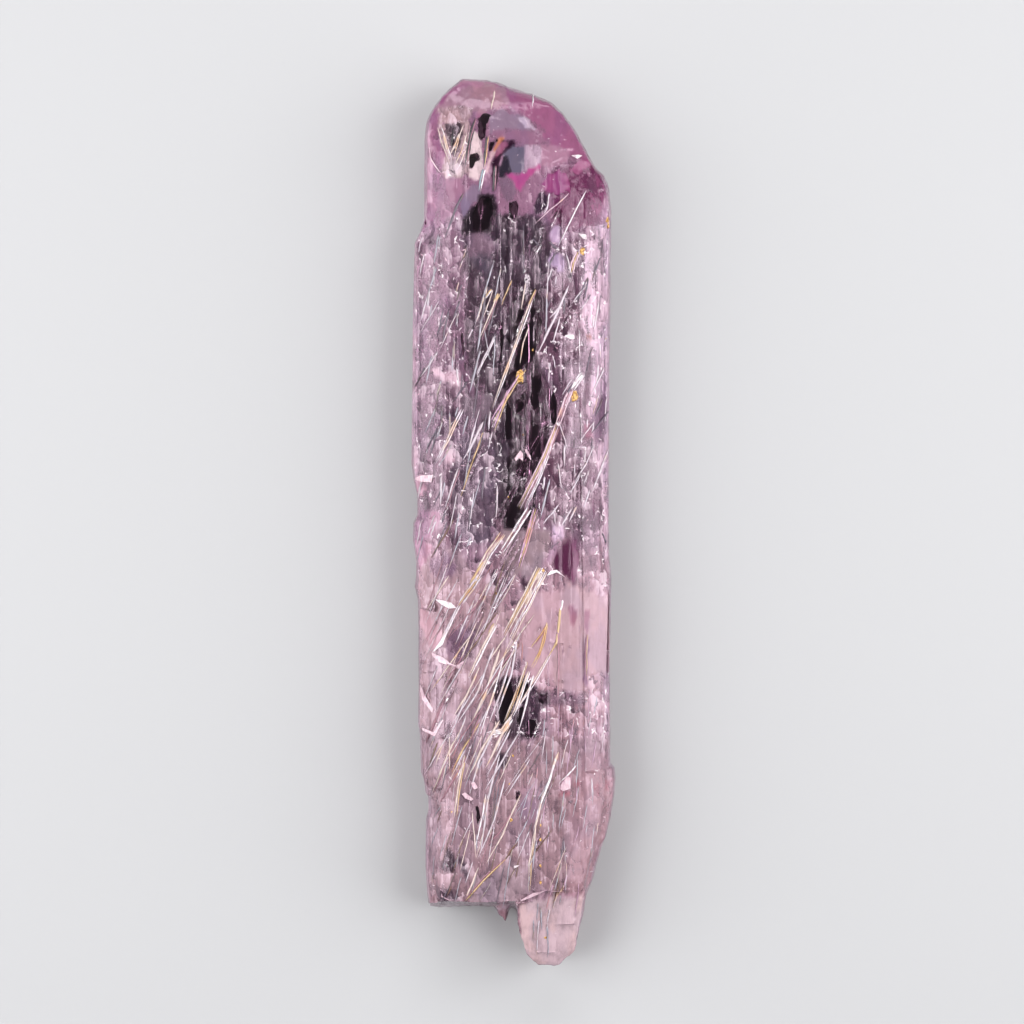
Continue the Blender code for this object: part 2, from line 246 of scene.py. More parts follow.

# places with a finish of their own, a few of them painted highlights and painted shade: frosted colour,
# frosting, grain, and the outline in mm
zones = {
    "domeField": (
        (0.50, 0.32, 0.44), 0.86, "fine",
        [(-13, 34.5), (-13, 55), (13, 55), (13, 33.5), (3.5, 35), (-6, 35)],
    ),
    "leftField": (
        (0.52, 0.385, 0.48), 0.64, "streaked",
        [(-12.3, 33.6), (-3.9, 33.6), (-5.2, 25.2), (-5.9, 21.9), (-6.6, 17.3), (-12.3, 17.3)],
    ),
    "leftFieldLow": (
        (0.52, 0.40, 0.48), 0.60, "streaked",
        [(-12.3, 17.3), (-6.6, 17.3), (-3.9, 13), (-6.2, 5.9), (-7.7, -0.8), (-12.3, -0.8)],
    ),
    # a pale strip down the left edge: a painted highlight
    "leftEdgeHighlight": (
        (0.88, 0.74, 0.80), 0.8, "streaked",
        [(-12.4, 33), (-11.3, 33), (-11.2, 10), (-11.2, -8), (-10.9, -25), (-10.8, -43), (-12.4, -43)],
    ),
    # a pale strip down the right edge: a painted highlight
    "rightEdgeHighlight": (
        (0.86, 0.74, 0.80), 0.88, "streaked",
        [(10.3, -9), (11.9, -9), (11.9, -20), (12.3, -26), (10.9, -26), (10.5, -18)],
    ),
    "middle": (
        (0.22, 0.185, 0.225), 0.36, "leaning",
        [(-6.1, 35.8), (3.5, 35.3), (4.5, 31.1), (3.5, 26.1), (2.8, 19.3), (5, 14.3), (4.9, 9.3),
         (1.8, 2.5), (-1.5, 0.5), (-5.2, 1.4), (-6.2, 5.9), (-3.9, 12.6), (-5.2, 17.7), (-5.9, 21.9),
         (-5.2, 25.2)],
    ),
    "middleDark": (
        (0.20, 0.17, 0.20), 0.12, "deep",
        [(-0.1, 26), (1.9, 27.1), (4, 26), (4, 21.3), (3.1, 17.8), (5, 14.3), (5, 9.6), (3.7, 6.1),
         (2.5, 2.6), (1.9, -0.9), (-1.3, -0.9), (-1.3, 2.6), (-1, 6.1), (-0.4, 9.6), (-0.6, 14.3),
         (-0.9, 17.8), (-0.6, 22.5)],
    ),
    "lilacPanel": (
        (0.29, 0.25, 0.30), 0.74, "streaked",
        [(-6.5, 9.6), (-3.9, 11.3), (-2.2, 8.4), (-1.9, 2.6), (-2.7, -2.1), (-5.1, -2.7), (-6.8, 0.2),
         (-7.4, 4.9)],
    ),
    "rightField": (
        (0.31, 0.185, 0.255), 0.62, "faceted",
        [(4.5, 31.9), (7.5, 32.8), (11.9, 32.8), (11.9, -0.8), (4.3, -0.8), (2.7, 2.5), (3.5, 7.6),
         (5, 12.6), (4.2, 17.7), (2.8, 19), (3.5, 26.1)],
    ),
    # a pale strip down the upper right edge: a painted highlight
    "rightStripHighlight": (
        (0.98, 0.86, 0.94), 0.84, "deep",
        [(8.5, 34.1), (11.9, 34.8), (11.9, -4.2), (10.6, -4.2), (10.1, 4.2), (9.4, 9.3), (8.5, 12.6),
         (9.4, 17.7), (7.9, 22.7)],
    ),
    "lowerLeft": (
        (0.76, 0.63, 0.62), 0.82, "soft",
        [(-12.3, -5), (-6.6, -2.8), (-2.5, -8), (1.8, -13.7), (-2.5, -20.4), (-2.5, -24.9),
         (-4.9, -27.1), (-12.3, -27.1)],
    ),
    "capRose": (
        (0.46, 0.20, 0.34), 0.98, "smooth",
        [(-11.6, 44.7), (-9.9, 46.2), (-8.4, 47.3), (-6.2, 47.5), (-4, 47.3), (-2.5, 47.7), (-1.2, 48),
         (1, 47.5), (2.7, 46.2), (3.8, 44.7), (4.9, 43.3), (6.5, 42.3), (8.5, 41.3), (10.6, 40.3),
         (13.6, 42.3), (8.5, 52.4), (-1.5, 55.7), (-8.2, 55.7), (-13.3, 49)],
    ),
    "capLight": (
        (0.68, 0.38, 0.52), 0.9, "smooth",
        [(-7.7, 49.7), (-5.7, 51.9), (-2.9, 51.7), (-2.2, 50.4), (-4.5, 49), (-6.9, 48.5)],
    ),
    "hollowHaze": (
        (0.62, 0.43, 0.48), 0.92, "smooth",
        [(-9.4, 46), (-8.9, 48.3), (-6.4, 50.2), (-3, 50.9), (-0.9, 50.4), (-0.4, 48.6), (-3, 47.4),
         (-5, 47.4), (-8, 46.8)],
    ),
    "creamField": (
        (0.80, 0.70, 0.65), 0.80, "leaning",
        [(-9, 44.2), (-8.7, 46.2), (-6, 46.6), (-4.8, 46.6), (-4.9, 45), (-4.9, 42.6), (-5.2, 40.2),
         (-7, 39.8), (-8.1, 39.8), (-8.6, 41.3)],
    ),
    "hollowGrey": (
        (0.30, 0.26, 0.27), 0.5, "leaning",
        [(-8.1, 46.2), (-6.2, 46.5), (-5.9, 45), (-6.3, 43.6), (-6.8, 42.4), (-7.2, 43), (-7.9, 44.6)],
    ),
    "hollowDark": (
        (0.12, 0.10, 0.12), 0.4, "leaning",
        [(-7.4, 45.8), (-6.3, 46), (-6.1, 45.2), (-6.6, 44.7), (-7, 43.4), (-7.3, 44.6)],
    ),
    "hollowTop": (
        (0.66, 0.53, 0.50), 0.86, "soft",
        [(-8.8, 47.9), (-6.5, 48.3), (-4.6, 47.9), (-4.9, 46.6), (-6.2, 46.3), (-8.6, 46.1)],
    ),
    "creamCore": (
        (1.08, 1.08, 0.98), 0.95, "fine",
        [(-5, 44.6), (-4.6, 45.5), (-4.1, 44.7), (-3.7, 43.4), (-3.5, 42.2), (-3.7, 40.6), (-4.1, 39.6),
         (-5.2, 39.9), (-5, 41.4), (-5.2, 42.8)],
    ),
    "creamLeft": (
        (0.78, 0.68, 0.64), 0.8, "leaning",
        [(-8.5, 45.4), (-7.9, 45.6), (-7.2, 43.2), (-7.1, 42.3), (-7.9, 42.9)],
    ),
    "creamFoot": (
        (1.05, 1.05, 0.95), 0.92, "leaning",
        [(-8, 40.9), (-7.4, 41.8), (-6.8, 41.6), (-5.9, 41.4), (-5.7, 40.2), (-7, 39.9), (-7.9, 39.7)],
    ),
    "creamRight": (
        (1.0, 0.84, 0.80), 0.92, "fine",
        [(-2.7, 42.7), (-2.3, 43.2), (-1.9, 43.8), (-2, 42.7), (-2.7, 41.4), (-2.9, 40.4), (-3.2, 40.3),
         (-3, 41.6)],
    ),
    "lavender": (
        (0.46, 0.40, 0.50), 0.9, "smooth",
        [(-3, 47), (-1.5, 47.8), (-0.2, 47.4), (1.2, 46.9), (2.2, 46), (2, 45.2), (0.4, 45.4),
         (-1.2, 45.2), (-2.8, 44.9)],
    ),
    # a bright spot at the lavender's upper right: a painted highlight
    "lavenderHighlight": (
        (0.78, 0.78, 0.86), 0.95, "smooth",
        [(0.7, 46.7), (1.2, 46.9), (2.2, 46), (2.9, 45.1), (2.2, 45.4), (1.4, 45.7)],
    ),
    "mauveUnder": (
        (0.50, 0.31, 0.43), 0.9, "smooth",
        [(-2.4, 45.1), (-1.2, 45.2), (0.4, 45.4), (2.2, 45.2), (3.4, 44.2), (2.2, 43.7), (0.4, 43.9),
         (-0.8, 44.2), (-1.9, 44.3)],
    ),
    "rust": (
        (0.85, 0.42, 0.20), 0.94, "smooth",
        [(-2.5, 43.1), (-1.7, 44.4), (-1, 44.35), (-1.5, 43.8), (-2.2, 42.7)],
    ),
    "rustShade": (
        (0.035, 0.01, 0.03), 1.0, "smooth",
        [(-1.2, 44.15), (-0.2, 44.2), (0.4, 43.7), (-0.3, 43), (-1.2, 42.4), (-1.6, 41.4), (-1.8, 39.8),
         (-2, 38.4), (-2.5, 38.2), (-2.6, 40.2), (-2.7, 41.4), (-2.3, 42.3), (-1.7, 43.3)],
    ),
    "rustGlow": (
        (0.42, 0.17, 0.27), 0.96, "smooth",
        [(-1.5, 43.7), (-0.9, 44.1), (-0.7, 43.7), (-1.5, 42.6), (-2.1, 42), (-2.2, 42.6)],
    ),
    "slate": (
        (0.20, 0.215, 0.27), 1.0, "smooth",
        [(-1.2, 42.5), (0.1, 43.4), (1.4, 43.5), (1.5, 42), (1.2, 40.3), (-0.4, 40.2), (-1.7, 40),
         (-1.6, 41.2)],
    ),
    "slateDark": (
        (0.035, 0.035, 0.05), 1.0, "smooth",
        [(-1.3, 42.2), (-0.7, 42.3), (-0.4, 41.2), (-0.3, 40.3), (-0.9, 39.9), (-1.7, 39.8), (-1.7, 41)],
    ),
    "slateEdge": (
        (0.64, 0.58, 0.66), 0.96, "fine",
        [(1.3, 43.5), (3.1, 43.6), (3.7, 42.6), (3, 41.2), (1.9, 40.9), (1.3, 40.4)],
    ),
    "paleCheek": (
        (0.66, 0.43, 0.55), 0.9, "smooth",
        [(3.2, 43.7), (4.3, 43.6), (6.4, 43.2), (6.6, 42), (5.4, 41.3), (4.2, 41.1), (3.3, 41.4)],
    ),
    "magentaWedge": (
        (0.60, 0.14, 0.38), 1.0, "smooth",
        [(-0.9, 40.1), (1.5, 40.4), (2.9, 41.1), (2.2, 40.3), (0.8, 38.1), (0.2, 38.7), (-0.1, 39.4)],
    ),
    "shoulder": (
        (0.19, 0.04, 0.125), 1.0, "fine",
        [(4.4, 40.6), (6.5, 41.3), (7.9, 42.2), (9.1, 42.2), (9.8, 40.6), (10.6, 39.6), (10.8, 38.4),
         (10.3, 36.8), (10.1, 34.6), (8, 34.1), (6.8, 33.6), (5.8, 33.9), (5.2, 34.9), (4.4, 35.7),
         (4.6, 37.2), (4.1, 37.9), (3.1, 38.5)],
    ),
    "shoulderCore": (
        (0.42, 0.11, 0.29), 1.0, "smooth",
        [(3.2, 38.6), (3.2, 39.3), (4.1, 40.2), (5.2, 40.6), (6.2, 40.3), (6.6, 39.2), (6.4, 38.3),
         (5, 38), (4, 38.1)],
    ),
    "shoulderRose": (
        (0.44, 0.15, 0.30), 1.0, "smooth",
        [(6.8, 41.2), (7.9, 42.2), (9, 42.3), (9.3, 41.4), (8, 40.9), (7.6, 40.3), (6.8, 40.6)],
    ),
    "shoulderSide": (
        (0.30, 0.10, 0.21), 1.0, "fine",
        [(8.6, 40.8), (10.4, 39.4), (10.9, 38.4), (10.4, 36.4), (9.2, 35.4), (8.8, 38)],
    ),
    # a pale strip along the shoulder's right edge: a painted highlight
    "shoulderEdgeHighlight": (
        (0.86, 0.68, 0.78), 0.92, "fine",
        [(10.3, 40.6), (11, 39.6), (11.4, 37.5), (11.4, 34), (10.7, 34), (10.9, 37.2), (10.9, 38.6)],
    ),
    "inkPatch": (
        (0.06, 0.035, 0.07), 0.8, "leaning",
        [(2.4, 36.2), (2.7, 37.6), (3.1, 38.3), (3.9, 37.9), (4.1, 36.6), (3.3, 35.7), (2.6, 35.5)],
    ),
    "lilacPaneHigh": (
        (0.80, 0.72, 0.92), 0.95, "smooth",
        [(4.1, 33.4), (4.6, 34.1), (5.4, 34), (5.5, 32.4), (5.2, 31.8), (4.1, 32.6)],
    ),
    "lilacPaneLow": (
        (0.76, 0.68, 0.86), 0.92, "fine",
        [(3.9, 30.1), (4.4, 31.3), (5.2, 31.2), (6, 30.5), (5.9, 29.2), (5.2, 28.8), (4.4, 29.6)],
    ),
    "leftRimTop": (
        (0.50, 0.27, 0.41), 0.92, "fine",
        [(-11.3, 45.3), (-9.9, 47.2), (-8.7, 47.4), (-8.9, 46), (-8.4, 44.3), (-7.8, 42.7), (-8.3, 41),
         (-8.4, 38.9), (-9.4, 34.7), (-11.6, 33.1), (-11.6, 38.9)],
    ),
    "leftRimLight": (
        (0.86, 0.64, 0.76), 0.92, "fine",
        [(-10.6, 45), (-9.9, 45.6), (-9.4, 43.4), (-9.5, 40), (-9.5, 37), (-10.2, 37), (-10.8, 40)],
    ),
    "greyLeaf": (
        (0.38, 0.34, 0.44), 0.94, "smooth",
        [(-5.6, 38.2), (-5, 38.9), (-4.1, 38.8), (-3.9, 38), (-4.2, 37), (-5, 36.6), (-5.4, 35.6),
         (-5.9, 35.1), (-6.1, 36.5), (-5.9, 37.5)],
    ),
    "cheekLeft": (
        (0.52, 0.33, 0.44), 0.94, "smooth",
        [(-7.9, 39.6), (-6.2, 39.7), (-5.8, 38.4), (-6.2, 37.2), (-7.3, 37.2), (-7.9, 38.4)],
    ),
    "greySlab": (
        (0.26, 0.25, 0.30), 0.45, "fine",
        [(-5.4, 33.1), (-3.2, 33.4), (-2.4, 32.6), (-2.4, 27.9), (-5.4, 30.5)],
    ),
    "mauveGrey": (
        (0.33, 0.25, 0.33), 0.92, "smooth",
        [(-1.6, 39.4), (-0.8, 39.9), (0, 39.3), (0.3, 38.3), (-0.1, 37.2), (-0.8, 37), (-1.4, 38.3)],
    ),
    "wellShade": (
        (0.07, 0.055, 0.07), 0.35, "fine",
        [(-3.9, 37.7), (-2.8, 38), (-2.2, 37.3), (-1.9, 35.4), (-2.5, 33.6), (-4.4, 33.3), (-5.9, 33.2),
         (-5.9, 34.9), (-5.2, 35.7), (-4.8, 36.5), (-4.2, 36.8)],
    ),
    "wellUnder": (
        (0.34, 0.27, 0.33), 0.85, "fine",
        [(-5.5, 33.1), (-4.2, 33.4), (-2.9, 33.2), (-2, 32), (-2.6, 30.6), (-5.2, 31)],
    ),
    "cloudHigh": (
        (1, 0.86, 0.9), 0.9, "leaning",
        [(-10.1, 17.8), (-8.7, 17.8), (-6.1, 17), (-6.2, 15.6), (-7.7, 16.1), (-9.1, 17)],
    ),
    "cloudLow": (
        (1, 0.86, 0.9), 0.9, "leaning",
        [(-8.1, 8.3), (-6.7, 8.1), (-6.9, 6.9), (-7.9, 6.7)],
    ),
    "greyPane": (
        (0.34, 0.31, 0.35), 0.66, "fine",
        [(-5.9, 14.3), (-4.2, 15), (-2.5, 14.6), (-2.5, 12.1), (-3.9, 11.6), (-5.2, 11.9), (-6.1, 13.3)],
    ),
    "violetPatch": (
        (0.22, 0.12, 0.22), 0.86, "fine",
        [(10.7, 16), (11.1, 13.5), (10.1, 8.9), (8.9, 9.6), (8.7, 11.3), (9.2, 12.6), (10.1, 14.3)],
    ),
    "rustSpot": (
        (0.6, 0.33, 0.26), 0.85, "smooth",
        [(8.4, 21.7), (9, 21.7), (8.9, 21), (8.4, 21)],
    ),
    "redPatch": (
        (0.55, 0.23, 0.33), 0.8, "fine",
        [(8, 11.4), (8.9, 11.6), (9.2, 9.9), (8.4, 9.6)],
    ),
    "leftFlake": (
        (1, 0.8, 0.85), 0.95, "smooth",
        [(-12.3, 5.4), (-9.4, 5.4), (-9.6, 4.7), (-11.4, 4.8), (-12.3, 4.9)],
    ),
    "leftFacet": (
        (0.86, 0.62, 0.7), 0.92, "smooth",
        [(-11.9, 4.7), (-9.8, 4.2), (-10.8, 2.7), (-12.3, 3.4)],
    ),
    "facetHigh": (
        (0.76, 0.54, 0.65), 0.84, "soft",
        [(-12.3, 1.4), (-7.9, 1.4), (-9.3, -1.8), (-12.3, -1.8)],
    ),
    "facetLow": (
        (0.84, 0.56, 0.66), 0.88, "soft",
        [(-12.3, -2), (-9.3, -2.3), (-9.9, -4.1), (-11.1, -6), (-12.3, -6)],
    ),
    "glassyPatch": (
        (0.60, 0.54, 0.53), 0.84, "fine",
        [(-1.2, -0.8), (4.3, -0.9), (4.2, -3), (3.2, -5.3), (1.5, -7), (0.7, -5.6), (-0.2, -7),
         (-1.5, -4.1), (-1.5, -2)],
    ),
    "smoothPink": (
        (0.78, 0.66, 0.64), 0.97, "smooth",
        [(6, -6.5), (8.5, -8), (11.9, -8.7), (11.9, -17.1), (8.5, -17.9), (8.2, -19.4), (5.2, -19.7),
         (4.5, -17.1), (5, -11.4), (5.7, -8)],
    ),
    "zipper": (
        (0.07, 0.035, 0.06), 0.9, "smooth",
        [(1, -6.3), (1.5, -6.7), (1.7, -7.2), (1.3, -8), (1, -7.4)],
    ),
    "middlePink": (
        (0.82, 0.68, 0.68), 0.95, "smooth",
        [(0.7, -8), (2.8, -8), (5.7, -8), (5, -11.4), (4.5, -17.1), (2.7, -18.4), (0.8, -15.4),
         (0.7, -12)],
    ),
    "purplePatch": (
        (0.13, 0.035, 0.09), 1.0, "smooth",
        [(4.4, -5), (4.6, -4.1), (5.2, -3), (5.9, -2.1), (6.9, -1.6), (7.5, -2.3), (7.7, -3.7),
         (7.8, -4.9), (7.4, -6.1), (7.2, -7.1), (6.6, -7.1), (6, -6.4), (5.2, -5.8)],
    ),
    "purpleRim": (
        (0.24, 0.08, 0.17), 1.0, "smooth",
        [(6.7, -1.9), (7.3, -2.2), (7.6, -3.7), (7.7, -4.9), (7.3, -6), (7, -6.9), (6.7, -6.8),
         (6.9, -4)],
    ),
    "purpleCheek": (
        (0.66, 0.50, 0.62), 0.92, "fine",
        [(4.1, -3.4), (4.6, -2.7), (5.6, -2), (5.3, -2.9), (4.6, -4.2), (4.1, -4.9), (3.8, -4.4)],
    ),
    # a bright whitish patch by the notch: a painted highlight
    "notchHighlight": (
        (1.05, 0.96, 1.12), 0.92, "faceted",
        [(4.3, -0.6), (5.7, -0.4), (5.7, -1.8), (4.5, -2.5)],
    ),
    "peach": (
        (0.92, 0.7, 0.71), 0.94, "smooth",
        [(-10.8, -9.3), (-9.8, -11), (-8.1, -12.5), (-8.2, -13.7), (-9.4, -14.7), (-10.1, -13.4),
         (-11.1, -11.7)],
    ),
    "mauveShade": (
        (0.42, 0.3, 0.39), 0.78, "fine",
        [(-5.7, -12), (-4.2, -12.4), (-5.2, -14.7), (-5.9, -16.4), (-7.2, -15.9), (-8.2, -14.5),
         (-7.4, -12.7)],
    ),
    "mauveHigh": (
        (0.46, 0.33, 0.42), 0.76, "fine",
        [(-9.8, -4.3), (-7.7, -3.5), (-6.6, -5.3), (-8.2, -7), (-9.6, -6)],
    ),
    "dripLeft": (
        (0.62, 0.36, 0.44), 0.9, "smooth",
        [(6.3, -9.7), (7.4, -10.2), (7, -12.2), (6.5, -11.5)],
    ),
    "dripRight": (
        (0.62, 0.36, 0.44), 0.9, "smooth",
        [(8.3, -10.2), (8.9, -10.2), (8.6, -12.7), (8, -12)],
    ),
    "dripLong": (
        (0.4, 0.24, 0.4), 0.9, "smooth",
        [(8.2, -13.4), (8.7, -13.4), (8.6, -19.1), (8.1, -18.4)],
    ),
    "smokeBand": (
        (0.52, 0.39, 0.47), 0.66, "streaked",
        [(4.2, -19.6), (8.5, -19.9), (8.4, -21.3), (4.3, -21.1)],
    ),
    "caveShade": (
        (0.16, 0.115, 0.15), 0.5, "leaning",
        [(-2, -18.2), (-0.5, -17.6), (1.8, -18.2), (3, -19.2), (4.4, -19.5), (4.3, -21.2), (3, -22),
         (2.9, -25.2), (-0.6, -25.4), (-2.2, -23.6), (-2.2, -20.1)],
    ),
    "lowField": (
        (0.62, 0.50, 0.50), 0.84, "soft",
        [(-11.5, -24.9), (12.7, -24.9), (12.7, -42.8), (6.4, -45.5), (-11.5, -46.1)],
    ),
    "rightLow": (
        (0.66, 0.50, 0.50), 0.88, "fine",
        [(6.4, -33.9), (8.2, -26.7), (12.7, -26.7), (12.7, -32.1), (10, -41), (8.7, -44.6),
         (6.1, -42.8)],
    ),
    "darkNick": (
        (0.16, 0.13, 0.17), 0.5, "streaked",
        [(-1.8, -26.5), (-0.7, -26.7), (-0.9, -28.3), (-1.8, -28.5)],
    ),
    "lowShade": (
        (0.22, 0.18, 0.21), 0.45, "leaning",
        [(-7.6, -37.8), (-6.9, -38.4), (-6.7, -40), (-7.6, -40.6), (-8.6, -40), (-8.3, -38.8)],
    ),
    "lowShadeRight": (
        (0.24, 0.20, 0.24), 0.5, "leaning",
        [(-6.5, -38.8), (-5.6, -39.3), (-5, -40.6), (-5.5, -41.4), (-6.1, -40.2)],
    ),
    "cornerShade": (
        (0.26, 0.2, 0.26), 0.48, "deep",
        [(-9, -42.3), (-6.5, -42.8), (-6.1, -43.9), (-7.4, -44.8), (-8.8, -44.6)],
    ),
    "blobLeft": (
        (0.64, 0.32, 0.35), 0.88, "fine",
        [(7, -29.8), (7.9, -29.8), (7.9, -30.7), (7, -30.5)],
    ),
    "blobMiddle": (
        (0.64, 0.32, 0.35), 0.88, "fine",
        [(8.9, -30.3), (10, -30.3), (9.8, -31.4), (9.1, -31.2)],
    ),
    "blobRight": (
        (0.64, 0.32, 0.35), 0.88, "fine",
        [(10.7, -29.9), (11.3, -29.9), (11.1, -31.2), (10.6, -31.2)],
    ),
    "blobLow": (
        (0.64, 0.32, 0.35), 0.88, "fine",
        [(5.2, -31.2), (6.6, -31.2), (6.6, -31.7), (5.3, -31.8)],
    ),
    "paleTriangle": (
        (0.92, 0.72, 0.79), 0.96, "smooth",
        [(5.2, -30.7), (6.2, -29.4), (6.7, -29.6), (6.6, -30.8), (5.5, -31.1)],
    ),
    "pinkPane": (
        (0.72, 0.57, 0.60), 0.86, "fine",
        [(0.7, -30.5), (3.2, -30.8), (2.8, -32.1), (0.7, -32.1)],
    ),
    "greyPaneLow": (
        (0.58, 0.46, 0.53), 0.84, "smooth",
        [(0.7, -32.1), (2.8, -32.1), (2.7, -34.6), (1.6, -35), (0.6, -33.3)],
    ),
    "shell": (
        (0.66, 0.60, 0.60), 0.92, "fine",
        [(-4.7, -42.1), (-2.5, -40.5), (-0.7, -39.1), (0.9, -39.6), (1.8, -40.3), (1.8, -42.8),
         (0.7, -43.9), (-1.8, -44.3), (-4.7, -43.9)],
    ),
    "baseStrip": (
        (0.88, 0.66, 0.70), 0.92, "fine",
        [(-10.6, -44.6), (-8.8, -44.9), (-1.8, -44.5), (1, -44.1), (3.9, -42.8), (6.4, -43),
         (9.1, -44.3), (8.2, -46.2), (-1.8, -46.2), (-10.6, -46.2)],
    ),
    "tongue": (
        (1.13, 1.04, 0.94), 0.96, "grooved",
        [(0.2, -44.6), (2.4, -43.6), (4.6, -43.2), (6.6, -43.6), (9.1, -43.6), (8.2, -50.7), (4.6, -52.9),
         (2.5, -52.5), (1, -50.7)],
    ),
    "tooth": (
        (0.74, 0.44, 0.46), 0.94, "smooth",
        [(-2.2, -45.7), (-0, -45.5), (-0.4, -47.7), (-1.3, -47.5)],
    ),
}

# clear places where one sees into the dark inside, as outlines in mm
windows = {
    "lens": [(-3.9, 46.5), (-3.6, 47.1), (-3.1, 47.3), (-2.7, 47.1), (-3.1, 46), (-3.3, 44.6), (-3.7, 44.3),
         (-4, 44.8)],
    "nick": [(-5, 42.4), (-4.3, 42.6), (-4, 42.3), (-4, 41.9), (-4.5, 41.6), (-5, 41)],
    "rustHollow": [(-2.8, 43.9), (-1.9, 44.2), (-2.2, 43.5), (-2.6, 42.9), (-2.9, 42.8)],
    "well": [(-4.1, 37), (-3.6, 37.6), (-2.7, 37.5), (-2.5, 36), (-2.9, 34), (-4.5, 33.7), (-4.7, 35.5),
         (-4.4, 36.4)],
    "hollowHigh": [(-0.4, 36.8), (0.2, 37), (0.5, 36.5), (0.4, 35.5), (0, 35), (-0.4, 35.3)],
    "gapHigh": [(0.6, 24.6), (1.3, 24.6), (1.4, 24.1), (0.9, 22.9), (0.4, 22.7)],
    "gapLong": [(2, 25), (2.5, 25.1), (2.6, 22), (2.6, 20.5), (2.2, 18.8), (1.3, 18.3), (0.5, 17.4),
         (0.1, 18), (0.3, 19.7), (1.2, 22.3), (1.8, 23.3)],
    "gapThread": [(2.8, 24), (3.2, 23.6), (3.4, 21.8), (3, 22)],
    "gapLeft": [(0.2, 14), (1.2, 14.2), (1.3, 13.3), (0.6, 12.6), (0.2, 12.7)],
    "gapMiddle": [(2.1, 17), (3.3, 17.2), (3.4, 16), (3, 15), (2.9, 13.3), (2.3, 12.9), (2, 13.6), (2.2, 15)],
    "gapRight": [(3.9, 15.6), (4.6, 15), (5.1, 13.2), (4.9, 11.2), (4.3, 11.6), (4.2, 13), (3.8, 14.2)],
    "gapLow": [(2, 11.8), (2.9, 11.2), (3.5, 10.4), (3.5, 9.6), (4, 9.5), (3.8, 8.7), (3.3, 7.3), (2.1, 7.2),
         (1.7, 8.8), (2, 10.2)],
    "gapSmall": [(0.3, 7), (1.1, 7), (1.3, 7.6), (2.1, 7), (2.1, 6.4), (1.7, 5.2), (0.2, 5.3)],
    "gapLast": [(-0.3, 3.2), (0.9, 2.9), (0.7, 1.8), (0.2, 0.6), (-0.1, -0.6), (-0.9, -0.6), (-0.8, 1.5)],
    "crackLow": [(-0.9, 13.6), (-0.3, 13.6), (-0.2, 11), (-0.1, 9.5), (-0.9, 9.4), (-1, 11)],
    "crackLeft": [(-6.1, 21.9), (-5.8, 21.9), (-5.5, 17.2), (-5.8, 18.3)],
    "crackMiddle": [(-1.7, 23.2), (-1.3, 23.2), (-1.2, 20.2), (-1.4, 18.2), (-1.7, 18.6), (-1.5, 20.6)],
    "caveLeft": [(-1.3, -18.7), (-0.9, -18), (-0.2, -18.5), (0, -20), (-0.2, -21.5), (-0.4, -22.4),
         (-1, -23.2), (-1.6, -23.2), (-1.7, -21.5), (-1.4, -20)],
    "caveHigh": [(0.3, -18.5), (1.6, -18.8), (1.9, -19.3), (1.2, -20.3), (0.6, -20.4)],
    "caveMiddle": [(0.3, -22.3), (0.9, -21.2), (1.3, -21.8), (0.9, -23.2), (0.4, -23.6)],
    "caveLow": [(1.6, -23), (2.5, -22.8), (2.6, -24.8), (1.4, -24.9)],
    "caveRight": [(2.8, -19.9), (4, -19.8), (3.9, -20.4), (3.3, -20.9), (2.8, -20.8)],
    "splinter": [(-4.3, -32.8), (-4.05, -33.2), (-4.0, -34.1), (-4.15, -34.7), (-4.3, -34)],
    "dash": [(0.3, -31.1), (0.6, -31.1), (0.7, -32.3), (0.4, -32.1)],
    "dashRight": [(4.3, -36.9), (4.7, -36.4), (4.8, -37), (4.5, -37.1)],
}


def planesBetween(low, high, gap):
    count = max(1, round((high - low) / gap))
    return [low + (high - low) * (i + 0.5) / count for i in range(count)]


def sliced(bm, axis, places):
    normal = [0.0, 0.0, 0.0]
    normal[axis] = 1.0
    for place in places:
        point = [0.0, 0.0, 0.0]
        point[axis] = place
        bmesh.ops.bisect_plane(
            bm, geom=bm.verts[:] + bm.edges[:] + bm.faces[:], dist=1e-7, plane_co=point, plane_no=normal
        )


def smoothBand(value, low, high):
    share = min(1.0, max(0.0, (value - low) / (high - low)))
    return share * share * (3 - 2 * share)


def outside(x, y, corners):
    # distance from an outline, below 0 inside it
    nearest = 1e9
    inside = False
    ax, ay = corners[-1]
    for bx, by in corners:
        dx, dy = bx - ax, by - ay
        share = min(1.0, max(0.0, ((x - ax) * dx + (y - ay) * dy) / (dx * dx + dy * dy)))
        nearest = min(nearest, math.hypot(x - ax - share * dx, y - ay - share * dy))
        if (ay > y) != (by > y) and x < ax + dx * (y - ay) / dy:
            inside = not inside
        ax, ay = bx, by
    return -nearest if inside else nearest


def boxed(outlines, margin):
    # each outline with the box that it can reach
    made = []
    for corners in outlines:
        xs, ys = zip(*corners)
        made.append((min(xs) - margin, max(xs) + margin, min(ys) - margin, max(ys) + margin, corners))
    return made


# zones whose front has no steps
calmZones = ("shoulder", "purplePatch", "smoothPink", "middlePink", "glassyPatch", "shell", "tongue")
windowBoxes = boxed(windows.values(), 1.2)
calmBoxes = boxed([zones[name][3] for name in calmZones], 1.5)
zoneBoxes = boxed([zone[3] for zone in zones.values()], 1.6)


def windowGap(x, y, boxes=windowBoxes):
    # distance from the nearest window or other outline, below 0 inside one
    gap = 9.0
    for left, right, low, high, corners in boxes:
        if left < x < right and low < y < high:
            gap = min(gap, outside(x, y, corners))
    return gap


def blended(first, second, share):
    return [a + (b - a) * share for a, b in zip(first, second)]


